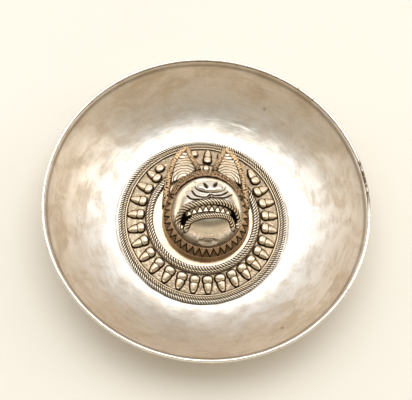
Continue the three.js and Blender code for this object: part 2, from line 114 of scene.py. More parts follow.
def in_medallion(points):
    """Points in the medallion's frame, moved to the bowl's."""
    moved = np.array(points, float)
    moved[..., 0] = moved[..., 0] * MEDALLION_SHORT + MEDALLION[0]
    moved[..., 1] = moved[..., 1] * MEDALLION_LONG + MEDALLION[1]
    return moved


def in_head(points):
    """Points in the head's frame, moved to the bowl's."""
    points = np.array(points, float)
    moved = points.copy()
    cosine, sine = math.cos(HEAD_TURN), math.sin(HEAD_TURN)
    moved[..., 0] = points[..., 0] * cosine - points[..., 1] * sine + MEDALLION[0] + HEAD_X
    moved[..., 1] = points[..., 0] * sine + points[..., 1] * cosine + MEDALLION[1]
    return moved


# %% Hand work
def waves(x, y, length, seed, count=24):
    """Smooth hammer-like unevenness between about -1 and 1, with bumps about length apart."""
    dice = np.random.default_rng(seed)
    total = np.zeros(np.broadcast(x, y).shape)
    for _ in range(count):
        angle = dice.uniform(0, FULL_TURN)
        pitch = FULL_TURN / (length * dice.uniform(0.7, 1.5))
        phase = dice.uniform(0, FULL_TURN)
        total += np.sin(pitch * (x * math.cos(angle) + y * math.sin(angle)) + phase)
    return total / math.sqrt(count) * 1.1


def away_from(x, y, line):
    """Distance from each point to a line of points."""
    best = np.full(np.broadcast(x, y).shape, np.inf)
    for (ax, ay), (bx, by) in zip(line, line[1:]):
        dx, dy = bx - ax, by - ay
        along = np.clip(((x - ax) * dx + (y - ay) * dy) / (dx * dx + dy * dy), 0, 1)
        best = np.minimum(best, np.hypot(x - ax - along * dx, y - ay - along * dy))
    return best


def smooth_path(points, count):
    """A smooth line through the points, at even steps: places and directions."""
    points = np.array(points, float)
    padded = np.concatenate([2 * points[:1] - points[1:2], points, 2 * points[-1:] - points[-2:-1]])
    t = np.linspace(0, 1, 40, endpoint=False)[:, None]
    dense = []
    for p0, p1, p2, p3 in zip(padded, padded[1:], padded[2:], padded[3:]):
        bend = 2 * p0 - 5 * p1 + 4 * p2 - p3
        twist = 3 * p1 - p0 - 3 * p2 + p3
        dense.append(0.5 * (2 * p1 + (p2 - p0) * t + bend * t ** 2 + twist * t ** 3))
    dense = np.concatenate([*dense, points[-1:]])
    length = np.concatenate([[0], np.cumsum(np.linalg.norm(np.diff(dense, axis=0), axis=1))])
    even = np.linspace(0, length[-1], count)
    places = np.stack([np.interp(even, length, dense[:, k]) for k in range(dense.shape[1])], -1)
    ahead = np.gradient(places, axis=0)
    return places, ahead / np.linalg.norm(ahead, axis=1, keepdims=True)


# %% [markdown]
# ## Meshes from grids
#
# Sheet metal and wire both unroll to a rectangle, so each piece is a grid of points: round the piece one
# way and across it the other. Two marks travel with every point. The first says how deep in a hollow it
# lies, where tarnish stays and where shade is painted in; the second says how proud it stands, where
# polishing rubs it bright and where a highlight is painted on.

# %% Mesh builder
def grid_object(name, points, round_u=False, round_v=False, marks=None):
    """A smooth mesh from a grid of points in millimetres. Coinciding points at a pole are joined."""
    rows, columns = points.shape[:2]
    rows_used = rows if round_u else rows - 1
    columns_used = columns if round_v else columns - 1
    i, j = np.meshgrid(np.arange(rows_used), np.arange(columns_used), indexing="ij")
    next_i, next_j = (i + 1) % rows, (j + 1) % columns
    corners = [i * columns + j, next_i * columns + j, next_i * columns + next_j, i * columns + next_j]
    faces = np.stack(corners, -1).reshape(-1, 4)
    mesh = bpy.data.meshes.new(name)
    mesh.from_pydata((points.reshape(-1, 3) * 0.001).tolist(), [], faces.tolist())
    for mark, values in (marks or {}).items():
        layer = mesh.attributes.new(mark, "FLOAT", "POINT")
        layer.data.foreach_set("value", np.broadcast_to(values, (rows, columns)).astype(np.float32).ravel())
    work = bmesh.new()
    work.from_mesh(mesh)
    bmesh.ops.remove_doubles(work, verts=work.verts, dist=1e-7)
    if work.calc_volume(signed=True) < 0:
        bmesh.ops.reverse_faces(work, faces=work.faces)
    work.to_mesh(mesh)
    work.free()
    mesh.shade_smooth()
    made = bpy.data.objects.new(name, mesh)
    bpy.context.scene.collection.objects.link(made)
    return made


def with_ends(values, first, last):
    """A grid with one more row at each end."""
    return np.concatenate([first, values, last])


def closed_sheet(name, face, back, round_u=False, marks=None):
    """A sheet with thickness: face and back are grids of the same size, joined round their edges."""
    points = np.concatenate([face, back[:, ::-1]], axis=1)
    joined = {}
    for mark, values in (marks or {}).items():
        values = np.broadcast_to(values, face.shape[:2])
        joined[mark] = np.concatenate([values, values[:, ::-1]], axis=1)
    if not round_u:
        middles = [0.5 * (end + end[:, ::-1]) for end in (points[:1], points[-1:])]
        points = with_ends(points, *middles)
        joined = {mark: with_ends(v, v[:1], v[-1:]) for mark, v in joined.items()}
    return grid_object(name, points, round_u=round_u, round_v=True, marks=joined)


def finish_piece(piece, material, slot, *nodes):
    piece.data.materials.append(material)
    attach(piece, "root")
    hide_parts(*nodes)
    print(piece.name, len(piece.data.polygons), "faces")
    return piece


# %% [markdown]
# ## The metals
#
# Old silver is never one colour. Where cloths and fingers reach it stays bright, on broad open walls it
# takes a thin warm tarnish, and in the hollows that no cloth reaches it turns brown and black. Gilding wears
# the same way, down to the red of its first coat. Shade is painted into the hollows as well, and highlights
# onto some tops. Each metal below is one shader with those layers in it.
# Its patterns are given in millimetres and turned into Blender's noise scale, which counts per metre.

# %% Colours and nodes
def linear(code):
    """The linear colour of an sRGB hex code."""
    channels = [int(code[i:i + 2], 16) / 255 for i in (1, 3, 5)]
    return [c / 12.92 if c <= 0.04045 else ((c + 0.055) / 1.055) ** 2.4 for c in channels] + [1.0]


def per_metre(millimetres):
    """The noise scale for a pattern whose features are this far apart."""
    return 1000 / millimetres


def add_node(owner, kind, inputs=None, out=0, **settings):
    """Add a shader node with its settings, values and links, and give its output."""
    node = owner.node_tree.nodes.new("ShaderNode" + kind)
    for name, value in settings.items():
        setattr(node, name, value)
    for socket, value in (inputs or {}).items():
        if isinstance(value, bpy.types.NodeSocket):
            owner.node_tree.links.new(value, node.inputs[socket])
        else:
            node.inputs[socket].default_value = value
    return node.outputs[out]


def new_finish(name, metallic):
    material = bpy.data.materials.new(name)
    material.use_nodes = True
    shader = material.node_tree.nodes["Principled BSDF"]
    shader.inputs["Metallic"].default_value = metallic
    return material, shader


def paint(material, shader, colour, roughness, normal):
    """Join the three patterns to the shader."""
    for socket, pattern in (("Base Color", colour), ("Roughness", roughness), ("Normal", normal)):
        material.node_tree.links.new(pattern, shader.inputs[socket])


# %% [markdown]
# ### Planished silver
#
# The bowl's own metal. Cloths have gone round and round it, so its smears and scratches are long round the
# bowl and short across it. That is noise read in polar places: the direction from the middle stands for the
# way round, and the radius for the way across. Its colour is pale round the medallion, a painted reflection
# of the lamps, and warmer and darker up the wall, partly tarnish and partly a painted reflection of the dim
# room, with a cloudy edge.

# %% Planished silver of the bowl
CLOUD_MM = 35.714
CLOUD_SHIFT = 0.030
# Where the painted reflection of the lamps gives way to tarnish and the painted dim room, as distances from
# the middle in metres.
TARNISH_AND_REFLECTION_FROM, TARNISH_AND_REFLECTION_FULL = 0.083, 0.112
SMEAR_MM = 9.0909
SCRATCH_MM = 1.11111
SPECK_MM = 2.38095


def planished_silver():
    """Painted reflection and tarnish: pale round the medallion, where the lamps show, and warmer up the wall,
    partly tarnish and partly the dim room, with the streaks of many polishings.
    """
    material, shader = new_finish("planished silver with warm tarnish", metallic=1.0)
    place = add_node(material, "TexCoord", out="Object")
    axes = add_node(material, "SeparateXYZ", {0: place}).node.outputs
    flat = add_node(material, "CombineXYZ", {0: axes[0], 1: axes[1]})
    radius = add_node(material, "VectorMath", {0: flat}, operation="LENGTH", out="Value")
    outward = add_node(material, "VectorMath", {0: flat}, operation="NORMALIZE")
    heading = add_node(material, "SeparateXYZ", {0: outward}).node.outputs
    polar = add_node(material, "CombineXYZ", {0: heading[0], 1: heading[1], 2: radius})
    along_scratch = add_node(material, "Mapping",
        {"Vector": polar, "Scale": (7.0, 7.0, per_metre(SCRATCH_MM))})
    along_smear = add_node(material, "Mapping", {"Vector": polar, "Scale": (4.5, 4.5, per_metre(SMEAR_MM))})
    clouds = add_node(material, "TexNoise", {"Vector": place, "Scale": per_metre(CLOUD_MM),
        "Detail": 6.0, "Roughness": 0.6})
    specks = add_node(material, "TexNoise", {"Vector": place, "Scale": per_metre(SPECK_MM),
        "Detail": 3.0, "Roughness": 0.7})
    lines = add_node(material, "TexNoise", {"Vector": along_scratch, "Scale": 1.0,
        "Detail": 5.0, "Roughness": 0.62})
    smears = add_node(material, "TexNoise", {"Vector": along_smear, "Scale": 1.0, "Detail": 7.0,
        "Roughness": 0.66, "Distortion": 0.4})
    # How far up the wall a point counts as being, with the clouds moving the edge of the tarnish and painted
    # reflection about.
    height_on_wall = add_node(material, "Math", {0: clouds, 1: CLOUD_SHIFT, 2: radius},
        operation="MULTIPLY_ADD")
    tarnish_and_painted_reflection = add_node(material, "MapRange", {0: height_on_wall, 1: TARNISH_AND_REFLECTION_FROM, 2: TARNISH_AND_REFLECTION_FULL},
        interpolation_type="SMOOTHSTEP")
    smeared = add_node(material, "MapRange", {0: smears, 1: 0.40, 2: 0.64}, interpolation_type="SMOOTHSTEP")
    streak = add_node(material, "MapRange", {0: lines, 1: 0.52, 2: 0.78, 4: 0.34})
    speck = add_node(material, "MapRange", {0: specks, 1: 0.66, 2: 0.80, 4: 0.5})
    patina_and_shade = add_node(material, "Attribute", attribute_name="patina_and_shade", out="Fac")
    bright, warm = [add_node(material, "Mix", {0: smeared, 6: linear(clean), 7: linear(dull)},
        data_type="RGBA", out=2) for clean, dull in (("#f7f4ef", "#ddd4c8"), ("#f0e4d4", "#dac9b2"))]
    # Painted reflection with tarnish: the pale colour of the lit floor gives way to the warm colour of the
    # wall.
    colour = add_node(material, "Mix", {0: tarnish_and_painted_reflection, 6: bright, 7: warm}, data_type="RGBA", out=2)
    # Streaks and specks are wear; the last tint darkens the hollows with patina and painted shade.
    for share, tint in ((streak, "#a99680"), (speck, "#86735f"), (patina_and_shade, "#5a4a3a")):
        colour = add_node(material, "Mix", {0: share, 6: colour, 7: linear(tint)}, data_type="RGBA", out=2)
    wall_rough = add_node(material, "MapRange", {0: height_on_wall, 1: 0.072, 2: 0.115, 3: 0.24, 4: 0.40})
    lined = add_node(material, "Math", {0: lines, 1: 0.14, 2: wall_rough}, operation="MULTIPLY_ADD")
    rough = add_node(material, "Math", {0: smeared, 1: 0.09, 2: lined}, operation="MULTIPLY_ADD")
    height = add_node(material, "Math", {0: smears, 1: 1.5, 2: lines}, operation="MULTIPLY_ADD")
    normal = add_node(material, "Bump", {"Strength": 0.35, "Distance": 0.00025, "Height": height})
    paint(material, shader, colour, rough, normal)
    return material


SHEET_SILVER = planished_silver()
print(SHEET_SILVER.name)

# %% [markdown]
# ### Worked silver, wire and gilding
#
# All the other metals were punched, chased or twisted, and they differ in tone and polish, not in kind. Each
# starts dull, is lightened in patches, where it is worn and where a highlight is painted on, and darkens in
# its hollows with patina and painted shade. The edge of that darkening is broken up by a fine grain, so it
# never ends in a line.

# %% Worked metals
PATCH_MM = 11.1111


def worked_metal(name, bright, dull, dark, roughness, grain_mm, bump):
    """A metal that tools have worked: bright where worn and where a highlight is painted, brown to black in
    the hollows with patina and painted shade.
    """
    material, shader = new_finish(name, metallic=1.0)
    place = add_node(material, "TexCoord", out="Object")
    patches = add_node(material, "TexNoise", {"Vector": place, "Scale": per_metre(PATCH_MM),
        "Detail": 5.0, "Roughness": 0.6})
    grains = add_node(material, "TexNoise", {"Vector": place, "Scale": per_metre(grain_mm),
        "Detail": 4.0, "Roughness": 0.65})
    patina_and_shade = add_node(material, "Attribute", attribute_name="patina_and_shade", out="Fac")
    wear_and_highlight = add_node(material, "Attribute", attribute_name="wear_and_highlight", out="Fac")
    # Patina and painted shade in the hollows, with the edge broken up by the grain.
    dirt_and_shade_raw = add_node(material, "Math", {0: grains, 1: 0.5, 2: patina_and_shade}, operation="MULTIPLY_ADD")
    dirt_and_shade = add_node(material, "MapRange", {0: dirt_and_shade_raw, 1: 0.30, 2: 1.05}, interpolation_type="SMOOTHSTEP")
    colour = linear(dull)
    for share, tint in ((patches, bright), (wear_and_highlight, bright), (dirt_and_shade, dark)):
        colour = add_node(material, "Mix", {0: share, 6: colour, 7: linear(tint)}, data_type="RGBA", out=2)
    open_rough = add_node(material, "MapRange",
        {0: grains, 1: 0.3, 2: 0.7, 3: roughness - 0.06, 4: roughness + 0.08})
    rough = add_node(material, "Math", {0: dirt_and_shade, 1: 0.25, 2: open_rough}, operation="MULTIPLY_ADD")
    normal = add_node(material, "Bump", {"Strength": bump, "Distance": 0.0001, "Height": grains})
    paint(material, shader, colour, rough, normal)
    return material


# Burnished by hands on the rim: nearly white, with dirt in its nicks and painted shadow along its inner foot.
RIM_SILVER = worked_metal("worn bright rim silver", "#f6f1e8", "#d2c6b4", "#6b5a48",
    roughness=0.26, grain_mm=1.11111, bump=0.35)
# Embossed and chased sheet: a golden brown patina on open ground, deep brown round each form, patina and
# painted shade.
CHASED_SILVER = worked_metal("chased silver with brown patina", "#ecdcc4", "#b8a07e", "#3a2817",
    roughness=0.27, grain_mm=0.714286, bump=0.25)
# Twisted wire: bright beads, lighter on top with a painted highlight, and almost black lines between them,
# patina and painted shade.
CORD_SILVER = worked_metal("twisted silver wire", "#f8f0e2", "#d2bfa2", "#1f140b",
    roughness=0.30, grain_mm=0.625, bump=0.2)
# The same wire, a darker copy: the twist reads in browns.
DARKER_WIRE = worked_metal("darker copy of the twisted wire", "#e9d9c0", "#a8916f", "#24170c",
    roughness=0.28, grain_mm=0.625, bump=0.2)
# The ball of the muzzle, smoothed and polished over a stake: it mirrors the room softly.
POLISHED_SILVER = worked_metal("smooth polished silver", "#f1e9dc", "#e2d4c0", "#4a3a2b",
    roughness=0.2, grain_mm=1.428571, bump=0.1)
# Sheet inside the mouth, painted dark for the shade there: dull, so the teeth stand out.
MOUTH_SHADE_SILVER = worked_metal("blackened silver", "#7a654c", "#4d3e2f", "#1d150e",
    roughness=0.45, grain_mm=1.11111, bump=0.4)
# Gilding over silver, worn thin: reddish brown more than yellow.
GILDING = worked_metal("worn reddish gilding", "#cfb08c", "#93744f", "#241409",
    roughness=0.36, grain_mm=0.666667, bump=0.4)
print(len(bpy.data.materials), "finishes")

# %% [markdown]
# ## The bowl
#
# A raised bowl is sunk and then raised over stakes in many rounds of hammering, and at last planished with a
# polished hammer, which leaves a skin of very shallow facets. They show only in the reflections. The sheet
# keeps its thickness everywhere, so the same unevenness is given to its inside and its outside.

# %% Profile of the bowl
FLOOR_PUSHED_UP = 2.6
RING_INSIDE, RING_OUTSIDE = 33, 38


def wall_height(radius):
    out = np.maximum(0, (radius - FLOOR_RADIUS) / (LIP_RADIUS - FLOOR_RADIUS))
    return SHEET + (LIP_HEIGHT - SHEET) * out ** WALL_POWER


def out_of_round(points):
    """Hammering leaves the mouth of the bowl a little oval."""
    x, y = points[..., 0], points[..., 1]
    radius, angle = np.hypot(x, y), np.arctan2(y, x)
    oval = np.cos(2 * angle) + 0.3 * np.cos(4 * angle - 2.6)
    swell = OUT_OF_ROUND * oval * ease(radius, FLOOR_RADIUS, RIM_RADIUS)
    factor = (radius + swell) / np.maximum(radius, 1e-6)
    return np.stack([x * factor, y * factor, points[..., 2]], -1)


def bowl_profile():
    """Inside from the middle to the lip, and the matching outside, as arrays of radius and height."""
    ring = np.linspace(RING_INSIDE, RING_OUTSIDE, 6)
    floor = np.concatenate([np.linspace(0, 30, 5), ring, np.linspace(40, FLOOR_RADIUS - 1, 9)])
    wall = np.linspace(FLOOR_RADIUS, LIP_RADIUS, 110)
    radius = np.concatenate([floor, wall])
    down = np.clip((radius - RING_INSIDE) / (RING_OUTSIDE - RING_INSIDE), 0, 1)
    height = np.where(radius < FLOOR_RADIUS, mix(SHEET + FLOOR_PUSHED_UP, SHEET, down), wall_height(radius))
    slope = np.arctan2(np.gradient(wall_height(wall), wall), 1)
    under_radius = np.concatenate([floor * 55 / 56, wall + SHEET * np.sin(slope)])
    under_wall = np.maximum(0, wall_height(wall) - SHEET * np.cos(slope))
    under_height = np.concatenate([height[:len(floor)] - SHEET, under_wall])
    under_height[-1] = LIP_HEIGHT
    under_radius[-1] = LIP_RADIUS + SHEET / math.sin(slope[-1])
    return radius, height, under_radius, under_height


def turned_grid(radius, height, steps):
    """A profile turned round the middle."""
    angle = full_circle(steps)[:, None]
    upright = np.broadcast_to(height[None], (steps, len(radius)))
    return np.stack([radius[None] * np.cos(angle), radius[None] * np.sin(angle), upright], -1)


# %% [markdown]
# ### The marks of its life
#
# A dent beside the left of the rim, three creases and a fold in the wall, a scratch, a patch of small
# dimples on the right and two deeper pits. Each is a hollow with a place, a width and a depth in
# millimetres.

# %% Hammering and marks
DENT_PLACE, DENT_REACH, DENT_DEPTH = (-88.6, -23.0), (3.6, 6.5), 0.75
FOLD_RADIUS, FOLD_WIDTH, FOLD_ANGLE, FOLD_SPREAD, FOLD_DEPTH = 93.6, 1.1, -34, 17, 0.16
CREASES = [  # points, width, depth
    ([(-20.8, 86.0), (-19.6, 82.0), (-19.3, 80.0)], 0.9, 0.25),
    ([(-2.8, 94.0), (-2.7, 90.5), (-2.5, 87.0)], 0.9, 0.22),
    ([(-26.2, -69.6), (-22.0, -75.5), (-18.0, -79.5)], 0.5, 0.06),
    ([(20.0, 70.5), (26.0, 69.0), (31.0, 66.5)], 1.1, 0.16),
]
DIMPLES = [  # x, y, width, depth
    (75.3, 7.9, 1.3, 0.16), (78.6, 10.2, 1.0, 0.13), (79.7, 15.0, 1.2, 0.15), (72.2, 15.2, 1.0, 0.1),
    (66.6, -4.6, 1.2, 0.12), (70.4, 1.2, 0.9, 0.1), (83.0, 20.5, 1.2, 0.12), (60.5, 8.5, 1.2, 0.08),
]
PITS = [(40.7, 76.5, 1.0, 0.12), (46.6, -78.4, 0.7, 0.2)]


def hammering(x, y):
    """How far the sheet stands out of its smooth shape, in millimetres, at plan place (x, y)."""
    radius = np.hypot(x, y)
    angle = np.degrees(np.arctan2(y, x))
    broad = 0.20 * waves(x, y, length=46, seed=1) + 0.11 * waves(x, y, length=21, seed=2)
    broad = broad + 0.055 * waves(x, y, length=11, seed=4)
    facets = 0.020 * waves(x, y, length=6.0, seed=3, count=40)
    raised = (broad + facets) * ease(radius, 56, 64) * (1 - 0.7 * ease(radius, 99, LIP_RADIUS))
    (dent_x, dent_y), (reach_x, reach_y) = DENT_PLACE, DENT_REACH
    raised = raised - DENT_DEPTH * hump(x - dent_x, reach_x) * hump(y - dent_y, reach_y)
    for line, width, depth in CREASES:
        raised = raised - depth * hump(away_from(x, y, line), width)
    for mark_x, mark_y, width, depth in DIMPLES + PITS:
        raised = raised - depth * hump(np.hypot(x - mark_x, y - mark_y), width)
    fold = hump(radius - FOLD_RADIUS, FOLD_WIDTH) * hump(angle - FOLD_ANGLE, FOLD_SPREAD)
    return raised - FOLD_DEPTH * fold


# %% Bowl sheet
BOWL_STEPS = 420


def make_bowl():
    radius, height, under_radius, under_height = bowl_profile()
    face = turned_grid(radius, height, BOWL_STEPS)
    back = turned_grid(under_radius, under_height, BOWL_STEPS)
    x, y = face[..., 0], face[..., 1]
    uneven = hammering(x, y)
    face[..., 2] += uneven
    back[..., 2] = np.maximum(0, back[..., 2] + uneven * ease(under_radius, FLOOR_RADIUS, FLOOR_RADIUS + 5))
    # Painted shadow in a line just inside the rim wire, painted shade round the foot of the medallion, and
    # darker pits.
    patina_and_shade = 0.55 * hump(np.hypot(x, y) - 101.6, 0.7071)
    patina_and_shade = patina_and_shade + 0.8 * hump(np.hypot(x - MEDALLION[0], y - MEDALLION[1]) - 57.2, 0.8)
    for pit_x, pit_y, _, _ in PITS:
        patina_and_shade = patina_and_shade + 0.9 * hump(np.hypot(x - pit_x, y - pit_y), 0.7071)
    marks = {"patina_and_shade": np.clip(patina_and_shade, 0, 1), "wear_and_highlight": 0.0}
    return closed_sheet("bowl_sheet", out_of_round(face), out_of_round(back), round_u=True, marks=marks)


finish_piece(make_bowl(), SHEET_SILVER, "bowl_silver", "bowl_shell")

# %% [markdown]
# ## The rim
#
# A flattened wire is soldered on the raw edge of the sheet. It stiffens the mouth and gives the lip something
# to be burnished against. Years of handling leave it the brightest part of the bowl, full of small nicks, and
# on the right a short stretch is eaten by corrosion.

# %% Rim wire
RIM_STEPS = 1440
RIM_MIDDLE = RIM_RADIUS - 1.05
RIM_BOTTOM = LIP_HEIGHT + SEAM - 0.25
RIM_SECTION = [  # across and up, round the flattened wire
    (-0.72, 0.0), (0.72, 0.0), (0.95, 0.28), (1.02, 0.62), (0.98, 1.15), (0.80, 1.62), (0.5, 1.92),
    (0.1, 2.1), (-0.35, 2.12), (-0.72, 1.95), (-0.95, 1.6), (-1.02, 1.2), (-1.0, 0.62), (-0.92, 0.25),
]
NICKS = 46
EATEN_FROM_X, EATEN_SPREAD = math.radians(9), math.radians(11)


def turned_by(angle, place):
    """The angle from place, between minus and plus half a turn."""
    return np.angle(np.exp(1j * (angle - place)))


def rim_damage(angle, arc):
    """Depth of the nicks round the rim, and how far corrosion has eaten it."""
    dice = np.random.default_rng(11)
    nicks = np.zeros(len(angle))
    for place in dice.uniform(0, FULL_TURN, NICKS):
        depth = dice.uniform(0.08, 0.3)
        width = dice.uniform(0.35, 0.9)
        nicks += depth * hump(turned_by(angle, place) * RIM_RADIUS, width)
    eaten = hump(turned_by(angle, EATEN_FROM_X), EATEN_SPREAD)
    nicks += eaten * (0.25 + 0.22 * waves(arc, 0 * arc, length=1.8, seed=9))
    return nicks[:, None], eaten[:, None]


def make_rim():
    across, up = np.array(RIM_SECTION).T[:, None]
    angle = full_circle(RIM_STEPS)
    arc = angle * RIM_RADIUS
    wobble = 0.05 * waves(arc, 0 * arc, length=14, seed=5) + 0.035 * waves(arc, 0 * arc, length=4, seed=6)
    wobble = 0.6 * wobble[:, None]
    nicks, eaten = rim_damage(angle, arc)
    angle = angle[:, None]
    radius = RIM_MIDDLE + across * (1 - 0.10 * eaten) + wobble - nicks * np.clip(across, 0, 1) * 0.5
    height = np.minimum(RIM_BOTTOM + up - (nicks + wobble) * (up > 1.0) * 0.5, RIM_HEIGHT + 0.1)
    points = np.stack([radius * np.cos(angle), radius * np.sin(angle), height], -1)
    # Dirt in the nicks and on the corroded stretch, painted shadow along the foot of the inner side, and a
    # painted highlight with wear along the top.
    nicked = 1.4 * np.clip(nicks, 0, 1) * (up > 0.9)
    shadow_under_wire = 0.9 * (across < -0.85) * (up < 0.9)
    marks = {"patina_and_shade": np.clip(nicked + shadow_under_wire + 0.4 * eaten, 0, 1),
        "wear_and_highlight": np.clip(up - 1.0, 0, 1) * (1 - eaten)}
    return grid_object("rim_wire_worn", out_of_round(points), round_u=True, round_v=True, marks=marks)


finish_piece(make_rim(), RIM_SILVER, "rim_silver", "rim_wire")

# %% [markdown]
# ## The medallion
#
# The pods round the medallion are embossed: the plate is laid face down on pitch and each pod is driven out
# from behind with a rounded punch, then its outline and its groove are chased from the front. So they are
# part of the plate, and the plate is one height field with a steep foot round every pod.

# %% Where the pods are
POD_COUNT = 22
POD_RADIUS = 39.2
POD_LENGTH, POD_WIDTH = 11.4, 6.2
FIRST_POD, POD_STEP, POD_DRIFT = 137, 11.94, 5.6
SMALL_POD = 8
ODD_PODS = [  # angle, radius of its rounded end, length, width, lean
    (128.5, 43.2, 6.6, 6.0, 0), (34.4, 45.3, 12, 6.6, 84), (85, POD_RADIUS, POD_LENGTH, 5.6, 0),
    (96.5, 44.6, 6.0, 5.0, 0), (73.5, 44.6, 6.0, 5.0, 0),
]


def pod_places():
    places = []
    for i in range(POD_COUNT):
        drift = POD_DRIFT * math.sin(math.pi * min(i, 17) / 17)
        places.append((FIRST_POD + POD_STEP * i + drift, POD_RADIUS, POD_LENGTH, POD_WIDTH, 0))
    return places + ODD_PODS


def plate_top(radius):
    """The plate's dome: flat in the middle, a step at the inner border, then falling to its edge."""
    return np.interp(radius, [0, 32.5, 37.5, 51.2, PLATE_RADIUS], [DOME_TOP, DOME_TOP, 6.3, 2.5, 2.1])


# %% Shape of a pod
BULB_RISE, BODY_RISE, KNOB_RISE = 2.6, 2.3, 2.1


def pod_shape(s, t, length, half, swell, knobbed):
    """Rise of one pod and nearness to its outline, at s along it and t across it."""
    small = length < SMALL_POD
    bulb_length = (0.42 if small else 0.235) * length
    bulb = 1 - np.abs((s - bulb_length) / bulb_length) ** 2.6 - np.abs(t / (half * swell)) ** 2.4
    rise = BULB_RISE * swell * np.clip(bulb, 0, 1) ** 0.42
    if small:
        return rise, hump(bulb + 0.10, 0.30)
    thinning = np.clip((s - 0.38 * length) / (0.62 * length), 0, 1)
    taper = mix(0.93, 0.50, thinning ** 1.2) * half
    waist = 0.62 * length
    ends = np.where(s < waist, (s - waist) / (0.29 * length), (s - waist) / (0.385 * length))
    body = 1 - np.abs(ends) ** 3 - np.abs(t / taper) ** 2.1
    rise = np.maximum(rise, BODY_RISE * np.clip(body, 0, 1) ** 0.45)
    if knobbed:
        knob = 1 - ((s - 0.93 * length) / (0.085 * length)) ** 2 - (t / (0.45 * half)) ** 2
        rise = np.maximum(rise, KNOB_RISE * np.sqrt(np.clip(knob, 0, 1)))
    groove = 0.7 * hump(s - 0.43 * length, 0.45) * (body > 0.1)
    return rise, np.maximum(hump(np.maximum(bulb, body) + 0.10, 0.30), groove)


def raised_pods(x, y):
    """Height of the pods above the plate, and how near each point is to a pod's outline."""
    height = np.zeros(x.shape)
    outline = np.zeros(x.shape)
    dice = np.random.default_rng(21)
    for angle, radius, length, width, lean in pod_places():
        turn = math.radians(angle)
        heading = turn + math.radians(lean)
        dx, dy = x - radius * math.cos(turn), y - radius * math.sin(turn)
        s = dx * math.cos(heading) + dy * math.sin(heading)
        t = dy * math.cos(heading) - dx * math.sin(heading)
        near = (s > -2) & (s < length + 2) & (np.abs(t) < width)
        knobbed = 200 < angle % 360 < 330
        swell = dice.uniform(0.95, 1.05)
        rise, edge = pod_shape(s[near], t[near], length, 1.06 * width / 2, swell, knobbed)
        height[near] = np.maximum(height[near], rise)
        outline[near] = np.maximum(outline[near], edge)
    return height, outline


# %% Medallion plate
PLATE_STEPS = 1200


def make_plate():
    radius = np.concatenate([[0, 15, 25], np.linspace(28, 37.5, 20), np.linspace(37.75, 51.5, 66),
        np.linspace(51.9, PLATE_RADIUS, 7)])
    face = turned_grid(radius, plate_top(radius), PLATE_STEPS)
    back = turned_grid(radius, plate_top(radius) - PLATE_SHEET, PLATE_STEPS)
    x, y = face[..., 0], face[..., 1]
    across = np.hypot(x, y)
    height, outline = raised_pods(x, y)
    bare = height < 0.05
    ground = ease(across, 37.5, 39) * (1 - ease(across, 50, 51.3)) * bare
    tooling = 0.05 * waves(x, y, length=1.6, seed=31, count=40) + 0.10 * waves(x, y, length=4.0, seed=32)
    face[..., 2] += height + tooling * ground - 0.28 * outline * (height < 0.6)
    face[..., 2] += 0.02 * waves(x, y, length=9, seed=33) * bare
    # Patina and painted shade round each pod's outline and groove, patina on the chased ground, and painted
    # shade along both borders; the pods' tops lighter, for wear and a painted highlight.
    shade_beside_borders = 0.7 * hump(across - 38.0, 0.7) + 0.5 * hump(across - 50.7, 0.5)
    marks = {"patina_and_shade": np.clip(outline * 1.05 + 0.30 * ground + shade_beside_borders, 0, 1),
        "wear_and_highlight": np.clip((height - 1.4) / 1.2, 0, 1)}
    return closed_sheet("medallion_sheet", in_medallion(face), in_medallion(back), round_u=True, marks=marks)


finish_piece(make_plate(), CHASED_SILVER, "chased_silver", "medallion_plate")

# %% [markdown]
# ## The twisted wires
#
# Each border is a cord of wires twisted together and soldered down. From above a cord reads as a row of
# slanting beads with dark lines between them, and that is how it is made here: a round wire whose radius
# swells and shrinks along it, with the phase moved across it so the beads slant. The two cords of a border
# have the same number of beads and half a bead of slant each way, so the lines run on from one to the other.

# %% Cords
CORD_SLANT = -0.5
STEPS_A_BEAD = 9


def beaded_skin(turns, around, slant, wire, depth):
    """Radius and marks of a cord whose beads slant across it. turns counts the beads along it."""
    bead = np.abs(np.sin(math.pi * (turns + slant * np.cos(around))))
    radius = wire * (1 - depth + 1.15 * depth * bead ** 0.6)
    # Patina and painted shade in the lines between the beads, painted shade on the underside of the wire, and
    # wear with a painted highlight on the tops of the beads.
    patina_and_shade = np.clip(1.9 - 2.3 * bead, 0, 1) + 0.6 * (np.sin(around) < -0.35)
    wear_and_highlight = np.clip(3.0 * bead - 1.8, 0, 1) * (np.sin(around) > 0)
    return radius, np.clip(patina_and_shade, 0, 1), wear_and_highlight


def cord_grid(centres, sideways, upward, wire, turns, slant, closed, depth=0.42, sides=24):
    """A twisted cord along centres."""
    around = full_circle(sides)[None]
    radius, patina_and_shade, wear_and_highlight = beaded_skin(turns[:, None], around, slant, wire, depth)
    across = (radius * np.cos(around))[..., None] * sideways[:, None]
    up = (radius * np.sin(around))[..., None] * upward[:, None]
    points = centres[:, None] + across + up
    if not closed:
        ends = [np.broadcast_to(end, points[:1].shape) for end in (centres[:1, None], centres[-1:, None])]
        points = with_ends(points, *ends)
        patina_and_shade = with_ends(patina_and_shade, patina_and_shade[:1], patina_and_shade[-1:])
        wear_and_highlight = with_ends(wear_and_highlight, wear_and_highlight[:1], wear_and_highlight[-1:])
    return points, {"patina_and_shade": patina_and_shade, "wear_and_highlight": wear_and_highlight}


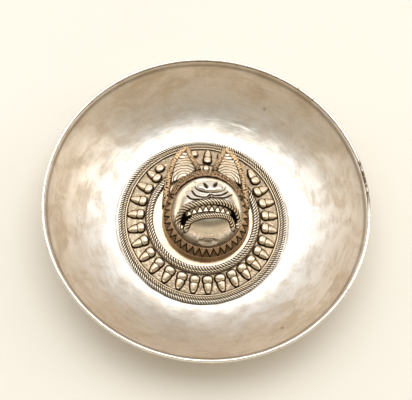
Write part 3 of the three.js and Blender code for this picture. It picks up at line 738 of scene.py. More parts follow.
def ring_cord(name, ring, wire, height, beads, start=0, end=360):
    """A cord round the medallion, from start to end in degrees. beads counts a full turn's."""
    closed = end - start >= 360
    steps = int((end - start) / 360 * beads * STEPS_A_BEAD)
    angle = np.radians(np.linspace(start, end, steps, endpoint=not closed))
    outward = np.stack([np.cos(angle), np.sin(angle), 0 * angle], -1)
    upward = np.broadcast_to([0.0, 0.0, 1.0], outward.shape)
    arc = angle * ring
    wander = 0.05 * waves(arc, 0 * arc, length=9, seed=int(ring * 10))
    centres = outward * (ring + wander[:, None]) + upward * height
    points, marks = cord_grid(centres, outward, upward, wire, angle / FULL_TURN * beads, CORD_SLANT, closed)
    return grid_object(name, in_medallion(points), round_u=closed, round_v=True, marks=marks)


OUTER_BEADS, INNER_BEADS = 206, 112
finish_piece(ring_cord("outer_cord_strands", 55.35, 1.22, 2.65, OUTER_BEADS),
    CORD_SILVER, "cord_silver", "outer_cord_large")
finish_piece(ring_cord("outer_small_cord_strands", 53.0, 0.98, 3.05, OUTER_BEADS),
    DARKER_WIRE, "cord_silver", "outer_cord_small")
finish_piece(ring_cord("inner_cord_strands", 34.7, 1.28, 8.1, INNER_BEADS, 136, 387),
    CORD_SILVER, "cord_silver", "inner_cord_large")
finish_piece(ring_cord("inner_small_cord_strands", 36.75, 0.85, 7.3, INNER_BEADS, 133, 392),
    DARKER_WIRE, "cord_silver", "inner_cord_small")

# %% Plain wire
PLAIN_RING, PLAIN_HEIGHT = 51.4, 3.05


def make_plain_wire():
    """Drawn wire, a little uneven where it was bent round."""
    angle = full_circle(360)[:, None]
    around = full_circle(12)[None]
    wander = 0.05 * waves(angle * 51, 0 * angle, length=8, seed=77)
    radius = PLAIN_RING + 0.48 * np.cos(around) + wander
    height = PLAIN_HEIGHT + 0.45 * np.sin(around) + 0 * angle
    points = np.stack([radius * np.cos(angle), radius * np.sin(angle), height], -1)
    # Painted shade on the inner side of the wire.
    marks = {"patina_and_shade": 0.7 * (np.cos(around) < -0.5), "wear_and_highlight": 0.4}
    return grid_object("plain_wire_drawn", in_medallion(points), round_u=True, round_v=True, marks=marks)


finish_piece(make_plain_wire(), DARKER_WIRE, "cord_silver", "outer_plain_wire")

# %% [markdown]
# ## The collar
#
# The collar is a ring of sheet, upright at its foot and leaning in above. Its leaning part is chased with a
# zigzag: the triangles above the line stand proud and are rubbed bright, those below are hatched and dark.

# %% Neck collar
COLLAR_STEPS = 1500
COLLAR_FOOT, COLLAR_SHOULDER, COLLAR_TOP = 28.9, 28.1, 23.55
SHOULDER_Z, LEAN_RISE = 12.8, 4.4
COLLAR_SHEET = 0.9
COLLAR_TRIANGLES = 23
BROW_HALF_ANGLE = 59


def neck_y(z):
    """The neck leans: its middle moves from the collar's place to the ball's as it rises."""
    return mix(NECK_Y, BALL_Y, ease(z, 11.8, 16.2))


def round_neck(radius, angle, z):
    """Points round the leaning neck."""
    return np.stack(np.broadcast_arrays(radius * np.cos(angle), radius * np.sin(angle) + neck_y(z), z), -1)


def make_collar():
    start, end = math.radians(90 + BROW_HALF_ANGLE), math.radians(450 - BROW_HALF_ANGLE)
    radius = np.concatenate([np.linspace(COLLAR_FOOT, COLLAR_SHOULDER + 0.05, 18),
        np.linspace(COLLAR_SHOULDER - 0.05, COLLAR_TOP, 52)])[None]
    height = np.concatenate([np.linspace(DOME_TOP + 0.1, SHOULDER_Z - 0.2, 18),
        SHOULDER_Z + LEAN_RISE * np.linspace(0, 1, 52) ** 0.92])[None]
    angle = np.linspace(start, end, COLLAR_STEPS)[:, None]
    slope = np.clip((height - SHOULDER_Z) / LEAN_RISE, 0, 1)
    leaning = slope > 0

    phase = ((angle - start) / (end - start) * COLLAR_TRIANGLES) % 1
    from_zigzag = 1.25 * slope - 0.1 - (1 - np.abs(2 * phase - 1))
    above, gap = from_zigzag > 0, np.abs(from_zigzag)
    chased = ease(slope, 0.02, 0.08) * (1 - ease(slope, 0.93, 0.98))
    groove = hump(gap, 0.13) * chased
    hatch_phase = phase * 5.0 + np.where(above, 2.6, -2.6) * slope
    hatch = (0.5 + 0.5 * np.cos(FULL_TURN * hatch_phase)) ** 3 * chased * (gap > 0.12)
    lift = 0.30 * above * chased * ease(gap, 0.05, 0.25) - 0.40 * groove - 0.26 * hatch
    lift = lift + 0.05 * waves(angle * 26, slope * 6, length=2.2, seed=41)
    lift = lift - 0.12 * hump(slope - 0.015, 0.02) * leaning

    face_z = height + 0.65 * lift
    back_z = np.minimum(face_z, height) - 0.35 * leaning
    face = round_neck(radius + 0.75 * lift, angle, face_z)
    back = round_neck(radius - COLLAR_SHEET, angle, back_z)
    # Patina in the grooves, the hatching and the low triangles; painted shade in a line at the shoulder,
    # along the top edge against the ball and over the whole upright foot; the proud triangles rubbed lighter.
    shade_line_at_shoulder = 0.3 * hump(slope - 0.015, 0.03) * leaning
    hollows_and_shade = 1.3 * groove + 1.0 * hatch + 0.30 * chased * (1 - above) + 0.06 * chased
    hollows_and_shade = hollows_and_shade + 0.35 * ease(slope, 0.95, 1.0) + shade_line_at_shoulder
    marks = {"patina_and_shade": np.clip(np.clip(hollows_and_shade, 0, 1) + 0.24 * ~leaning, 0, 1),
        "wear_and_highlight": 0.9 * above * chased * ease(gap, 0.12, 0.3)}
    return closed_sheet("collar_chased", in_head(face), in_head(back), marks=marks)


finish_piece(make_collar(), GILDING, "gilding", "neck_collar")

# %% [markdown]
# ## The brow
#
# The brow goes on from the collar between the ears and swells over the ball. Its gilt face is covered with
# short punched strokes in rows, and the punch leaves a small wall round each of them.

# %% Brow band
BROW_STEPS, BROW_ROWS = 420, 130
BROW_FOOT, BROW_RIDGE_Z = 33.6, 24.5
COLLAR_TOP_Z = 17.2
BROW_KNEE = 0.4
STROKE_MM = 1.5


def ball_radius_at(z):
    return BALL_RADIUS * np.sqrt(np.maximum(0, 1 - ((z - BALL_Z) / BALL_HEIGHT) ** 2))


def make_brow():
    u = np.linspace(0, 1, BROW_STEPS)[:, None]
    v = np.linspace(0, 1, BROW_ROWS)[None]
    from_middle = mix(-1, 1, u)
    angle = np.radians(90 + from_middle * (BROW_HALF_ANGLE - 0.8))
    rise = np.cos(from_middle * math.pi / 2)
    foot = mix(COLLAR_FOOT, BROW_FOOT, np.clip(rise, 0, 1) ** 0.8)
    shoulder = foot - 0.8
    ridge_z = mix(COLLAR_TOP_Z, BROW_RIDGE_Z, rise)
    ridge = ball_radius_at(ridge_z) + SEAM
    upper = np.maximum(0, (v - BROW_KNEE) / (1 - BROW_KNEE))
    lower = np.minimum(1, v / BROW_KNEE)
    bulge = 0.9 * np.sin(math.pi * upper)
    below_knee = v <= BROW_KNEE
    plain_radius = np.where(below_knee, mix(foot, shoulder, lower), mix(shoulder, ridge, upper) + bulge)
    plain_z = np.where(below_knee, mix(DOME_TOP + SEAM, SHOULDER_Z, lower), mix(SHOULDER_Z, ridge_z, upper))

    across_mm = np.degrees(angle - math.pi / 2) * 0.56
    up_mm = v * 15
    strokes = np.cos(FULL_TURN * (across_mm / STROKE_MM + 0.5 * np.floor(up_mm / STROKE_MM)))
    rows_cut = np.cos(FULL_TURN * up_mm / STROKE_MM)
    uneven = 0.25 * waves(across_mm, up_mm, length=3, seed=51)
    punched = np.clip(0.5 * strokes + 0.5 * rows_cut + uneven, -1, 1)
    edge = np.clip(8 * np.minimum(v, 1 - v), 0, 1)
    lift = 0.16 * punched * edge + 0.12 * waves(across_mm, up_mm, length=7, seed=52)

    face_z = plain_z + np.where(below_knee, 0, bulge) + 0.45 * upper + lift * 0.6
    face = round_neck(plain_radius + 0.25 * (1 - upper) + 0.5 * upper + lift * 0.8, angle, face_z)
    back = round_neck(plain_radius - 0.75 * (1 - upper), angle, plain_z - 0.1)
    # Patina in the punched strokes; painted shade along the top edge against the ball and along the foot on
    # the plate; the proud strokes rubbed lighter.
    patina_and_shade = np.clip(0.5 - 0.8 * punched, 0, 1) * edge + 0.9 * hump(v - 1, 0.035) + 0.7 * hump(v, 0.05)
    marks = {"patina_and_shade": np.clip(patina_and_shade, 0, 1), "wear_and_highlight": np.clip(punched, 0, 1) * 0.8}
    return closed_sheet("brow_punched", in_head(face), in_head(back), marks=marks)


finish_piece(make_brow(), GILDING, "gilding", "brow_band")

# %% [markdown]
# ## The ears
#
# Each ear is a thin silver panel between two gilt rims. The panel is engraved with arches, one inside the
# other, that stand for the folds of the ear. The rims are flat-topped strip, pebbled with a fine punch, and
# they are darker towards the root, with painted shade on their sides and a painted highlight along their
# tops.

# %% Ear rims
OUTER_RIM = [(26.6, 5), (26.3, 13), (25.7, 20), (24.3, 29.5), (22.7, 36.4), (20.2, 42.7),
    (17, 47.6), (13.4, 51.2)]
INNER_RIM = [(5.1, 32.7), (6.8, 37.2), (9.0, 41.6), (11.1, 46.5), (12.7, 51.2)]
OUTER_HALF_WIDTH, INNER_HALF_WIDTH = (2.45, 1.75), (2.0, 1.5)
RIM_HALF_HEIGHT = (2.5, 1.1)


def ear_foot(side, x, y):
    """Height of what the ear lies on: the plate, and near its tip the border's cords."""
    radius = np.hypot((side * x + HEAD_X) / MEDALLION_SHORT, y / MEDALLION_LONG)
    return plate_top(radius) + SEAM + 1.7 * ease(np.hypot(side * x + HEAD_X, y), 45, 51.5)


def ear_rim_grid(side, path, half_widths, steps, from_share=0.0):
    places, ahead = smooth_path(path, steps)
    keep = slice(int(from_share * steps), steps)
    t = np.linspace(0, 1, steps)[keep, None]
    places, ahead = places[keep], ahead[keep]
    around = full_circle(28)[None]
    cosine, sine = np.cos(around), np.sin(around)
    pebbles = 0.10 * waves(t * 50, cosine * 2 + 0 * t, length=1.3, seed=61, count=30)
    across = mix(*half_widths, t) * np.sign(cosine) * np.abs(cosine) ** 0.55
    x = places[:, :1] + ahead[:, 1:2] * across
    y = places[:, 1:2] - ahead[:, :1] * across
    base = ear_foot(side, places[:, :1], places[:, 1:2])
    z = base + mix(*RIM_HALF_HEIGHT, t) * (1 + np.sign(sine) * np.abs(sine) ** 0.75) + pebbles * (sine > 0.1)
    # Painted shade on the sides and underside of the strip, patina in the pebbling, darker towards the root;
    # a painted highlight with wear along the top.
    shaded_flanks = 0.9 * (sine < 0.15)
    patina_and_shade = np.clip(shaded_flanks + 9 * np.clip(-pebbles - 0.02, 0, 1) + 0.42 * (1 - t) ** 2, 0, 1)
    wear_and_highlight = np.clip(sine, 0, 1) ** 2 * np.clip(0.6 + 6 * pebbles, 0, 1)
    points = np.stack([side * x, y, z], -1)
    ends = [end.mean(1, keepdims=True) + 0 * end for end in (points[:1], points[-1:])]
    marks = {mark: with_ends(values, values[:1], values[-1:])
        for mark, values in (("patina_and_shade", patina_and_shade), ("wear_and_highlight", wear_and_highlight))}
    return with_ends(points, *ends), marks


def make_ear_rims(side, label):
    """Both rims of one ear, joined into one piece."""
    outer_points, outer_marks = ear_rim_grid(side, OUTER_RIM, OUTER_HALF_WIDTH, 300, 0.03)
    inner_points, inner_marks = ear_rim_grid(side, INNER_RIM, INNER_HALF_WIDTH, 170)
    outer = grid_object(f"{label}_ear_outer_rim", in_head(outer_points), round_v=True, marks=outer_marks)
    inner = grid_object(f"{label}_ear_inner_rim", in_head(inner_points), round_v=True, marks=inner_marks)
    bpy.ops.object.select_all(action="DESELECT")
    outer.select_set(True)
    inner.select_set(True)
    bpy.context.view_layer.objects.active = outer
    bpy.ops.object.join()
    outer.name = f"{label}_ear_gilt_rim"
    return outer


# %% Ear panels
PANEL_ROOT, PANEL_TIP = (0.05, 0.37), (0.86, 0.92)
ARCH_ROOT = (14.8, 24.0)
ARCH_SPACING = 2.15


def rim_edge(path, half_widths, share, direction):
    """Points beside a rim at these shares of its length, just under its edge."""
    places, ahead = smooth_path(path, 400)
    at = np.clip(share * 399, 0, 399)
    place, heading = [np.stack([np.interp(at, np.arange(400), values[:, k]) for k in (0, 1)], -1)
        for values in (places, ahead)]
    offset = direction * (mix(*half_widths, share) - 0.2)
    return place + np.stack([heading[:, 1] * offset, -heading[:, 0] * offset], -1)


def make_ear_panel(side, label):
    u = np.linspace(0, 1, 90)[:, None]
    v = np.linspace(0, 1, 150)
    outside = rim_edge(OUTER_RIM, (2.25, 1.5), mix(PANEL_ROOT[1], PANEL_TIP[1], v), -1)
    inside = rim_edge(INNER_RIM, (1.8, 1.3), mix(PANEL_ROOT[0], PANEL_TIP[0], v), 1)
    x = mix(inside[None, :, 0], outside[None, :, 0], u)
    y = mix(inside[None, :, 1], outside[None, :, 1], u)
    dish = mix(1.4, 0.5, v)[None] * (1 - (2 * u - 1) ** 2)
    height = mix(3.6, 1.2, v)[None] - dish
    reach = np.hypot((x - ARCH_ROOT[0]) * 1.25, y - ARCH_ROOT[1]) + 0.18 * waves(x, y, length=5, seed=71)
    arches = (0.5 + 0.5 * np.cos(FULL_TURN * reach / ARCH_SPACING)) ** 4 * ease(reach, 3.5, 5.0)
    back_z = ear_foot(side, x, y) + height
    face_z = back_z + 0.8 - 0.20 * arches + 0.03 * waves(x, y, length=2.4, seed=72)
    face = np.stack([side * x, y, face_z], -1)
    back = np.stack([side * x, y, back_z], -1)
    # Patina in the engraved arches, and painted shade along both edges, beside the rims.
    shade_beside_rims = hump(np.minimum(u, 1 - u), 0.05)
    marks = {"patina_and_shade": np.clip(0.85 * arches + 0.8 * shade_beside_rims, 0, 1), "wear_and_highlight": np.clip(0.8 - arches, 0, 1)}
    return closed_sheet(f"{label}_ear_engraved", in_head(face), in_head(back), marks=marks)


for side, label in ((1, "right"), (-1, "left")):
    finish_piece(make_ear_rims(side, label), GILDING, "gilding", f"{label}_ear_rim")
    finish_piece(make_ear_panel(side, label), CHASED_SILVER, "chased_silver", f"{label}_ear_panel")

# %% [markdown]
# ## The bead on the crown
#
# A small boss sits in the notch between the ears. It is driven out of the sheet like the pods, and rings are
# turned round it.

# %% Crown bead
BEAD_RADIUS, BEAD_HALF_HEIGHT, BEAD_Y = 2.4, 1.8, 34.6


def make_bead():
    around = full_circle(72)[:, None]
    up = np.linspace(-math.pi / 2, math.pi / 2, 40)[None]
    radius = BEAD_RADIUS * np.cos(up) * (1 + 0.05 * np.cos(6 * up))
    z = DOME_TOP + SEAM + BEAD_HALF_HEIGHT * (1 + np.sin(up)) + 0 * around
    points = np.stack([radius * np.cos(around), BEAD_Y + radius * np.sin(around), z], -1)
    # Painted shade on the lower half and the underside of the boss.
    marks = {"patina_and_shade": np.clip(1 - 2.2 * np.sin(up), 0, 1) * (up < 0.5), "wear_and_highlight": 0.5}
    return grid_object("crown_boss", in_head(points), round_u=True, marks=marks)


finish_piece(make_bead(), CHASED_SILVER, "chased_silver", "crown_bead")

# %% [markdown]
# ## The muzzle
#
# The muzzle is a sheet raised into a ball over a stake. Its creases are chased in from the front while it is
# full of pitch: the folds under the nose, the split of the lip, and a dimple under the chin. The mouth is cut
# out of it, and the cut edge hides under the lips.

# %% Lines on the ball
UPPER_LIP = [(-15.9, -14.3), (-17.9, -11.9), (-18.3, -9.3), (-17.2, -6.0), (-15.2, -4.0), (-11.2, -2.6),
    (-5.0, -1.5), (0.9, -0.7), (7.2, -0.4), (13.4, -1.3), (17.2, -3.3), (19.4, -6.9), (19.4, -9.8),
    (17.8, -12.4)]
LOWER_LIP = [(-13.6, -15.0), (-12.4, -12.4), (-9.8, -10.9), (-4.7, -9.8), (1.0, -9.2), (7.9, -8.5),
    (12.3, -8.9), (14.7, -10.7), (15.9, -13.2)]
FOLDS = [  # points, width, depth
    ([(-8.4, 11.4), (-7.2, 8.7), (-4.0, 6.7), (0.6, 6.2), (5.4, 7.0), (9.2, 9.2), (10.6, 11.8)], 0.5, 0.8),
    ([(-10.8, 8.2), (-8.7, 4.5), (-5.0, 2.6), (-1.7, 2.5), (0.4, 4.1)], 0.5, 0.85),
    ([(1.5, 4.1), (4.8, 3.9), (9.3, 5.6), (12.4, 8.6)], 0.5, 0.85),
    ([(-13.8, 4.9), (-11.3, 2.2), (-7.1, 0.9), (-2.3, 1.2), (0.4, 2.0)], 0.5, 0.85),
    ([(2.0, 2.4), (5.9, 2.3), (11.0, 3.7), (15.3, 7.3)], 0.5, 0.85),
    ([(0.5, 4.2), (0.9, 2.6), (0.9, 1.2)], 0.35, 0.5),
]
SHEET_SEAMS = [([(-17.6, 11.6), (-13.2, 15.2), (-9.3, 19.0)], 0.25, 0.3),
    ([(-9.4, 17.0), (-8.5, 15.4), (-7.9, 14.4)], 0.3, 0.35)]
LIP_WIRE_EDGE, LOWER_WIRE_EDGE = 2.3, 1.75


def on_ball(x, y, lift):
    """The point on the ball above plan place (x, y) from its middle, raised by lift."""
    height = np.sqrt(np.maximum(0, 1 - (x * x + y * y) / BALL_RADIUS ** 2))
    out = (BALL_RADIUS + lift) / BALL_RADIUS
    z = BALL_Z + height * (BALL_HEIGHT + lift)
    return np.stack(np.broadcast_arrays(x * out, BALL_Y + y * out, z), -1)


def inside_loop(x, y, loop):
    """Whether each point is inside the loop."""
    inside = np.zeros(np.broadcast(x, y).shape, bool)
    for (ax, ay), (bx, by) in zip(loop, np.roll(loop, -1, axis=0)):
        crosses = ((ay > y) != (by > y)) & (x < (bx - ax) * (y - ay) / (by - ay + 1e-12) + ax)
        inside ^= crosses
    return inside


# %% Chasing of the muzzle
CHIN_X, CHIN_ANGLE = 0.6, 15
CHIN_HALF_WIDTH, CHIN_HALF_ANGLE = 5.4, 9.0


def chased_muzzle(x, y, fall, lip_line, lower_line):
    """How far the chased sheet stands off the ball, and its hollows with patina and painted shade. fall is
    the angle from the top.
    """
    lift = 0.06 * waves(x, y, length=12, seed=81)
    patina_and_shade = np.zeros(x.shape)
    upper = np.cos(fall) > 0.02
    # Patina and painted shade in the chased folds; the seams between the sheets are dark joints.
    for line, width, depth in FOLDS:
        away = away_from(x, y, smooth_path(line, 60)[0])
        lift = lift + upper * (0.30 * hump(away, 1.5) - (depth + 0.30) * hump(away, width))
        patina_and_shade = np.maximum(patina_and_shade, hump(away, width * 1.15))
    for line, width, depth in SHEET_SEAMS:
        away = away_from(x, y, line)
        lift = lift - upper * depth * hump(away, width)
        patina_and_shade = np.maximum(patina_and_shade, 0.9 * hump(away, width))
    # Painted shade in the crevices beside both lip wires.
    shade_beside_upper_lip = 0.75 * hump(away_from(x, y, lip_line) - LIP_WIRE_EDGE, 0.5) * upper
    shade_beside_lower_lip = 0.95 * hump(away_from(x, y, lower_line) - LOWER_WIRE_EDGE, 0.42) * upper

    above_equator = np.degrees(np.pi / 2 - fall)
    chin = ((x - CHIN_X) / CHIN_HALF_WIDTH) ** 2 + ((above_equator - CHIN_ANGLE) / CHIN_HALF_ANGLE) ** 2
    in_front = y < -10
    lift = lift - in_front * (1.5 * np.exp(-(chin ** 1.6)) - 0.3 * hump(np.sqrt(chin) - 1.25, 0.25))
    chin_shade = in_front * 0.50 * np.exp(-(chin ** 2))
    # Painted shade grows towards the foot of the ball, under the chin and behind the nose alike, and fills
    # the ball below its middle.
    shade_low_in_front = 0.42 * ease(fall, 0.62, 1.25) * ease(-y, 2, 10)
    shade_low_behind = 0.46 * ease(fall, 0.75, 1.15) * ease(y, -6, 2)
    shade_under_equator = 0.8 * ease(-np.cos(fall), -0.02, 0.1)
    for shade in (shade_beside_upper_lip, shade_beside_lower_lip, chin_shade, shade_low_in_front + shade_low_behind, shade_under_equator):
        patina_and_shade = np.maximum(patina_and_shade, shade)
    return lift, np.clip(patina_and_shade, 0, 1)


# %% Muzzle
def cut_mouth(made, loop):
    """Take the faces inside the loop out of face and back, and join the two cut edges."""
    work = bmesh.new()
    work.from_mesh(made.data)
    faces = list(work.faces)
    centres = np.array([face.calc_center_median() for face in faces]) * 1000
    dx, dy = centres[:, 0] - MEDALLION[0] - HEAD_X, centres[:, 1] - MEDALLION[1]
    cosine, sine = math.cos(-HEAD_TURN), math.sin(-HEAD_TURN)
    plan_x, plan_y = dx * cosine - dy * sine, dx * sine + dy * cosine - BALL_Y
    cut = inside_loop(plan_x, plan_y, loop) & (centres[:, 2] > BALL_Z + 2)
    bmesh.ops.delete(work, geom=[face for face, gone in zip(faces, cut) if gone], context="FACES")
    bmesh.ops.bridge_loops(work, edges=[edge for edge in work.edges if edge.is_boundary])
    bmesh.ops.recalc_face_normals(work, faces=work.faces)
    work.to_mesh(made.data)
    work.free()
    made.data.shade_smooth()


def make_muzzle():
    around = full_circle(480)[:, None]
    fall = np.concatenate([np.linspace(0, 1.2, 150), np.linspace(1.21, math.pi / 2 + 0.17, 50)])[None]
    x = BALL_RADIUS * np.sin(fall) * np.cos(around)
    y = BALL_RADIUS * np.sin(fall) * np.sin(around)
    lip_line, lower_line = smooth_path(UPPER_LIP, 120)[0], smooth_path(LOWER_LIP, 120)[0]
    lift, patina_and_shade = chased_muzzle(x, y, fall, lip_line, lower_line)
    out = (BALL_RADIUS + lift) / BALL_RADIUS
    thin = (BALL_RADIUS - BALL_SHEET) / BALL_RADIUS
    face_z = BALL_Z + np.cos(fall) * (BALL_HEIGHT + lift)
    back_z = BALL_Z + np.cos(fall) * (BALL_HEIGHT - BALL_SHEET) + 0 * around
    face = np.stack([x * out, BALL_Y + y * out, face_z], -1)
    back = np.stack([x * thin, BALL_Y + y * thin, back_z], -1)
    marks = {"patina_and_shade": patina_and_shade, "wear_and_highlight": 0.3}
    made = closed_sheet("muzzle_chased", in_head(face), in_head(back), round_u=True, marks=marks)
    cut_mouth(made, np.concatenate([lip_line, lower_line[::-1]]))
    return made


finish_piece(make_muzzle(), POLISHED_SILVER, "polished_silver", "muzzle_shell")

# %% [markdown]
# ## The mouth
#
# The lips are twisted cords laid over the cut edge, with their beads slanting the same way on both sides.
# Behind them a lining, painted dark for the shade in the mouth, carries the teeth, filed as rows of sharp
# little points on a strip of sheet.

# %% Lips
UPPER_WIRE, UPPER_BEADS, UPPER_SLANT = 2.0, 29, -0.9
LOWER_WIRE, LOWER_BEADS, LOWER_SLANT = 1.5, 24, -0.6


def lip_cord(name, line, wire, beads, slant):
    path, _ = smooth_path(line, beads * 12)
    turns = np.linspace(0, beads, len(path))
    centres = on_ball(path[:, 0], path[:, 1], 0.2)
    outward = np.stack([path[:, 0] / BALL_RADIUS ** 2, path[:, 1] / BALL_RADIUS ** 2,
        (centres[:, 2] - BALL_Z) / BALL_HEIGHT ** 2], -1)
    outward /= np.linalg.norm(outward, axis=1, keepdims=True)
    forward = np.gradient(centres, axis=0)
    forward /= np.linalg.norm(forward, axis=1, keepdims=True)
    sideways = np.cross(forward, outward)
    points, marks = cord_grid(centres, sideways, outward, wire, turns, slant, False, depth=0.22, sides=36)
    return grid_object(name, in_head(points), round_v=True, marks=marks)


finish_piece(lip_cord("upper_lip_cord", UPPER_LIP, UPPER_WIRE, UPPER_BEADS, UPPER_SLANT),
    DARKER_WIRE, "cord_silver", "upper_lip")
finish_piece(lip_cord("lower_lip_cord", LOWER_LIP, LOWER_WIRE, LOWER_BEADS, LOWER_SLANT),
    DARKER_WIRE, "cord_silver", "lower_lip")

# %% Lining and teeth
MOUTH_TILT = 0.05
LINING_DEPTH = BALL_SHEET + SEAM + 0.7


def make_lining():
    u = np.linspace(0, 1, 90)[:, None]
    v = np.linspace(0, 1, 40)[None]
    x = mix(-18.6, 18.6, u)
    low = -10.9 + MOUTH_TILT * x - 3.4 * ease(np.abs(x), 11, 15.5)
    high = 0.3 + MOUTH_TILT * x - 9.4 * (np.abs(x) / 20) ** 4
    y = mix(low, high, v)
    x = x + 0 * v
    middle = (1 - np.abs(2 * u - 1) ** 4) * (1 - np.abs(2 * v - 1) ** 3)
    lift = -(LINING_DEPTH + 1.7 * middle) + 0.05 * waves(x, y, length=1.4, seed=91)
    face, back = on_ball(x, y, lift), on_ball(x, y, lift - 0.8)
    # Painted shade: the whole lining is darkened.
    return closed_sheet("mouth_dark_lining", in_head(face), in_head(back), marks={"patina_and_shade": 0.7, "wear_and_highlight": 0.0})


def make_teeth(name, count, reach, top, bottom, back_lift, face_lift):
    """A row of pointed teeth. top and bottom are each a height at the middle and its fall at the sides."""
    u = np.linspace(0, 1, count * 14 + 1)[:, None]
    v = np.linspace(0, 1, 26)[None]
    turn = math.asin(reach / BALL_RADIUS)
    x = BALL_RADIUS * np.sin(mix(-turn, turn, u))
    top_y = top[0] + MOUTH_TILT * x - top[1] * (np.abs(x) / 15) ** 3
    bottom_y = bottom[0] + MOUTH_TILT * x - bottom[1] * (np.abs(x) / 15) ** 2
    y = mix(bottom_y, top_y, v)
    x = x + 0 * v
    inside_tooth = 1 - np.abs(2 * ((u * count) % 1) - 1) - v
    on_tooth = ease(inside_tooth, 0.06, 0.20)
    between = ease(-inside_tooth, 0.10, 0.26)
    filed_line = hump(inside_tooth, 0.09)
    proud = 0.5 * on_tooth * np.clip(inside_tooth, 0, 1) + 0.25 * between * np.clip(-inside_tooth, 0, 1)
    face = on_ball(x, y, face_lift - 0.15 - 0.9 * filed_line + proud)
    back = on_ball(x, y, back_lift - 0.2)
    # Painted shade between the teeth and along their filed edges; the teeth themselves lighter.
    marks = {"patina_and_shade": np.clip(0.45 * (inside_tooth < 0) + filed_line, 0, 1), "wear_and_highlight": on_tooth}
    return closed_sheet(name, in_head(face), in_head(back), marks=marks)


finish_piece(make_lining(), MOUTH_SHADE_SILVER, "dark_silver", "mouth_lining")
finish_piece(make_teeth("upper_teeth_filed", 8, reach=14.6, top=(-3.1, 2.6), bottom=(-6.7, 1.3),
    back_lift=-3.0, face_lift=-0.5), CHASED_SILVER, "chased_silver", "upper_teeth")
finish_piece(make_teeth("lower_teeth_filed", 14, reach=11.5, top=(-7.1, 1.3), bottom=(-8.8, 1.3),
    back_lift=-3.0, face_lift=-1.7), CHASED_SILVER, "chased_silver", "lower_teeth")

# %% [markdown]
# ## The nose
#
# The nose is an oval button, domed over each nostril. The nostrils are punched in as two leaning drops, and
# shade is painted in them and round the button's edge.

# %% Nose
NOSE_MIDDLE, NOSE_HALF = (1.0, 10.8), (9.2, 4.8)
NOSE_DOMES = ((-3.2, -0.9), (3.0, -0.2))
NOSTRILS = ((-3.1, -1.1, 0.5), (2.9, -0.2, -0.5))  # x, y, lean


def make_nose():
    around = full_circle(160)[:, None]
    share = np.concatenate([np.linspace(0, 0.86, 56), np.linspace(0.88, 1.0, 12)])[None]
    x, y = NOSE_HALF[0] * share * np.cos(around), NOSE_HALF[1] * share * np.sin(around)
    lift = 2.2 * (1 - share ** 5) ** 0.6
    # Painted shade round the edge of the button, where it meets the ball.
    patina_and_shade = 0.5 * hump(share - 1, 0.05)
    for dome_x, dome_y in NOSE_DOMES:
        dome = ((x - dome_x) / 2.6) ** 2 + ((y - dome_y) / 2.3) ** 2
        lift = lift + 0.45 * np.exp(-(dome ** 1.3))
    for drop_x, drop_y, lean in NOSTRILS:
        dx, dy = x - drop_x, y - drop_y
        across = dx * math.cos(lean) + dy * math.sin(lean)
        along = dy * math.cos(lean) - dx * math.sin(lean)
        drop = (across / (1.05 + 0.25 * np.tanh(-along))) ** 2 + (along / 2.5) ** 2
        lift = lift - 1.5 * np.exp(-(drop ** 1.4))
        # Painted shade in the nostrils.
        patina_and_shade = np.maximum(patina_and_shade, 1.1 * np.exp(-(drop ** 1.5)))
    face = on_ball(NOSE_MIDDLE[0] + x, NOSE_MIDDLE[1] + y, SEAM + lift)
    back = on_ball(NOSE_MIDDLE[0] + x, NOSE_MIDDLE[1] + y, SEAM - 0.2)
    marks = {"patina_and_shade": np.clip(patina_and_shade, 0, 1), "wear_and_highlight": 0.8}
    return closed_sheet("nose_button", in_head(face), in_head(back), round_u=True, marks=marks)


finish_piece(make_nose(), POLISHED_SILVER, "polished_silver", "nose_disc")

# %% [markdown]
# ## Floor, light and camera
#
# Polished silver has no colour of its own to speak of: it shows the room. A broad soft lamp overhead gives
# the white ring where the floor turns up into the wall, and the dimmer room below it darkens the steep walls.
# So the room is white overhead, dim at a middling height, and a little brighter again near the horizon.

# %% Floor
FLOOR_REACH = 6.0


def make_floor():
    """A pale, matt studio floor, faintly mottled."""
    material, shader = new_finish("pale matt floor", metallic=0.0)
    shader.inputs["Roughness"].default_value = 0.9
    place = add_node(material, "TexCoord", out="Object")
    mottle = add_node(material, "TexNoise", {"Vector": place, "Scale": 6.0, "Detail": 3.0})
    colour = add_node(material, "Mix", {0: mottle, 6: linear("#e9e5dc"), 7: linear("#efece4")},
        data_type="RGBA", out=2)
    material.node_tree.links.new(colour, shader.inputs["Base Color"])
    mesh = bpy.data.meshes.new("floor")
    corners = [(-FLOOR_REACH, -FLOOR_REACH, 0), (FLOOR_REACH, -FLOOR_REACH, 0),
        (FLOOR_REACH, FLOOR_REACH, 0), (-FLOOR_REACH, FLOOR_REACH, 0)]
    mesh.from_pydata(corners, [], [(0, 1, 2, 3)])
    floor = bpy.data.objects.new("floor", mesh)
    floor.data.materials.append(material)
    bpy.context.scene.collection.objects.link(floor)


make_floor()


# %% Lamps
def area_lamp(name, place, size, power, colour):
    """A soft box that points at the middle of the bowl."""
    light = bpy.data.lights.new(name, "AREA")
    light.shape = "RECTANGLE"
    light.size, light.size_y = size
    light.energy = power
    light.color = linear(colour)[:3]
    lamp = bpy.data.objects.new(name, light)
    lamp.location = place
    lamp.rotation_euler = (-Vector(place)).to_track_quat("-Z", "Y").to_euler()
    bpy.context.scene.collection.objects.link(lamp)


area_lamp("overhead softbox", (0.0, 0.30, 1.25), size=(1.3, 0.9), power=8.0, colour="#fffdf8")
area_lamp("left softbox", (-1.2, 0.25, 0.85), size=(0.8, 1.0), power=1.8, colour="#fffdf8")
area_lamp("right softbox", (1.3, 0.1, 0.75), size=(0.7, 0.9), power=3.2, colour="#fff8ee")

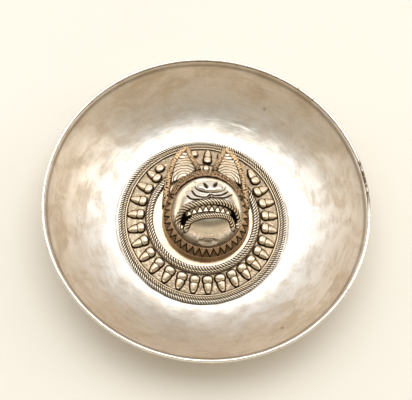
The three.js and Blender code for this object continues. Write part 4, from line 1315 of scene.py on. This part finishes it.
# %% Room
world = bpy.data.worlds.new("studio")
bpy.context.scene.world = world
world.use_nodes = True
aim = add_node(world, "TexCoord", out="Generated")
axes = add_node(world, "SeparateXYZ", {0: aim}).node.outputs
toward = add_node(world, "Math", {0: axes[1], 1: 0.8, 2: axes[2]}, operation="MULTIPLY_ADD")
overhead = add_node(world, "MapRange", {0: toward, 1: 0.25, 2: 0.85}, interpolation_type="SMOOTHSTEP")
horizon = add_node(world, "MapRange", {0: toward, 1: 0.05, 2: -0.40}, interpolation_type="SMOOTHSTEP")
room = linear("#8f8672")
for share, tint in ((horizon, "#efdfc6"), (overhead, "#fdfbf8")):
    room = add_node(world, "Mix", {0: share, 6: room, 7: linear(tint)}, data_type="RGBA", out=2)
surround = world.node_tree.nodes["Background"]
world.node_tree.links.new(room, surround.inputs["Color"])
surround.inputs["Strength"].default_value = 0.95
print("room and", len(bpy.data.lights), "lamps")

# %% Camera
ELEVATION, AZIMUTH, ROLL = math.radians(67.1), math.radians(-9.5), math.radians(9.4)
DISTANCE = 0.8
SIDE_SHIFT, UP_SHIFT = -0.00085, 0.0016
SENSOR = 36.0
FOCAL_SHARE = 1257.2 / 412  # focal length over the picture's width

level = math.cos(ELEVATION)
back = Vector((math.sin(AZIMUTH) * level, -math.cos(AZIMUTH) * level, math.sin(ELEVATION)))
flat_right = Vector((math.cos(AZIMUTH), math.sin(AZIMUTH), 0))
flat_up = back.cross(flat_right)
right = flat_right * math.cos(ROLL) + flat_up * math.sin(ROLL)
up = -flat_right * math.sin(ROLL) + flat_up * math.cos(ROLL)
camera = bpy.data.objects.new("camera", bpy.data.cameras.new("camera"))
camera.data.sensor_width = SENSOR
camera.data.lens = FOCAL_SHARE * SENSOR
eye = Vector((0, 0, RIM_HEIGHT * 0.001)) + back * DISTANCE + right * SIDE_SHIFT + up * UP_SHIFT
camera.matrix_world = Matrix.Translation(eye) @ Matrix((right, up, back)).transposed().to_4x4()
bpy.context.scene.collection.objects.link(camera)
bpy.context.scene.camera = camera
bpy.context.scene.view_settings.view_transform = "Standard"
print("camera at", [round(v, 3) for v in eye])
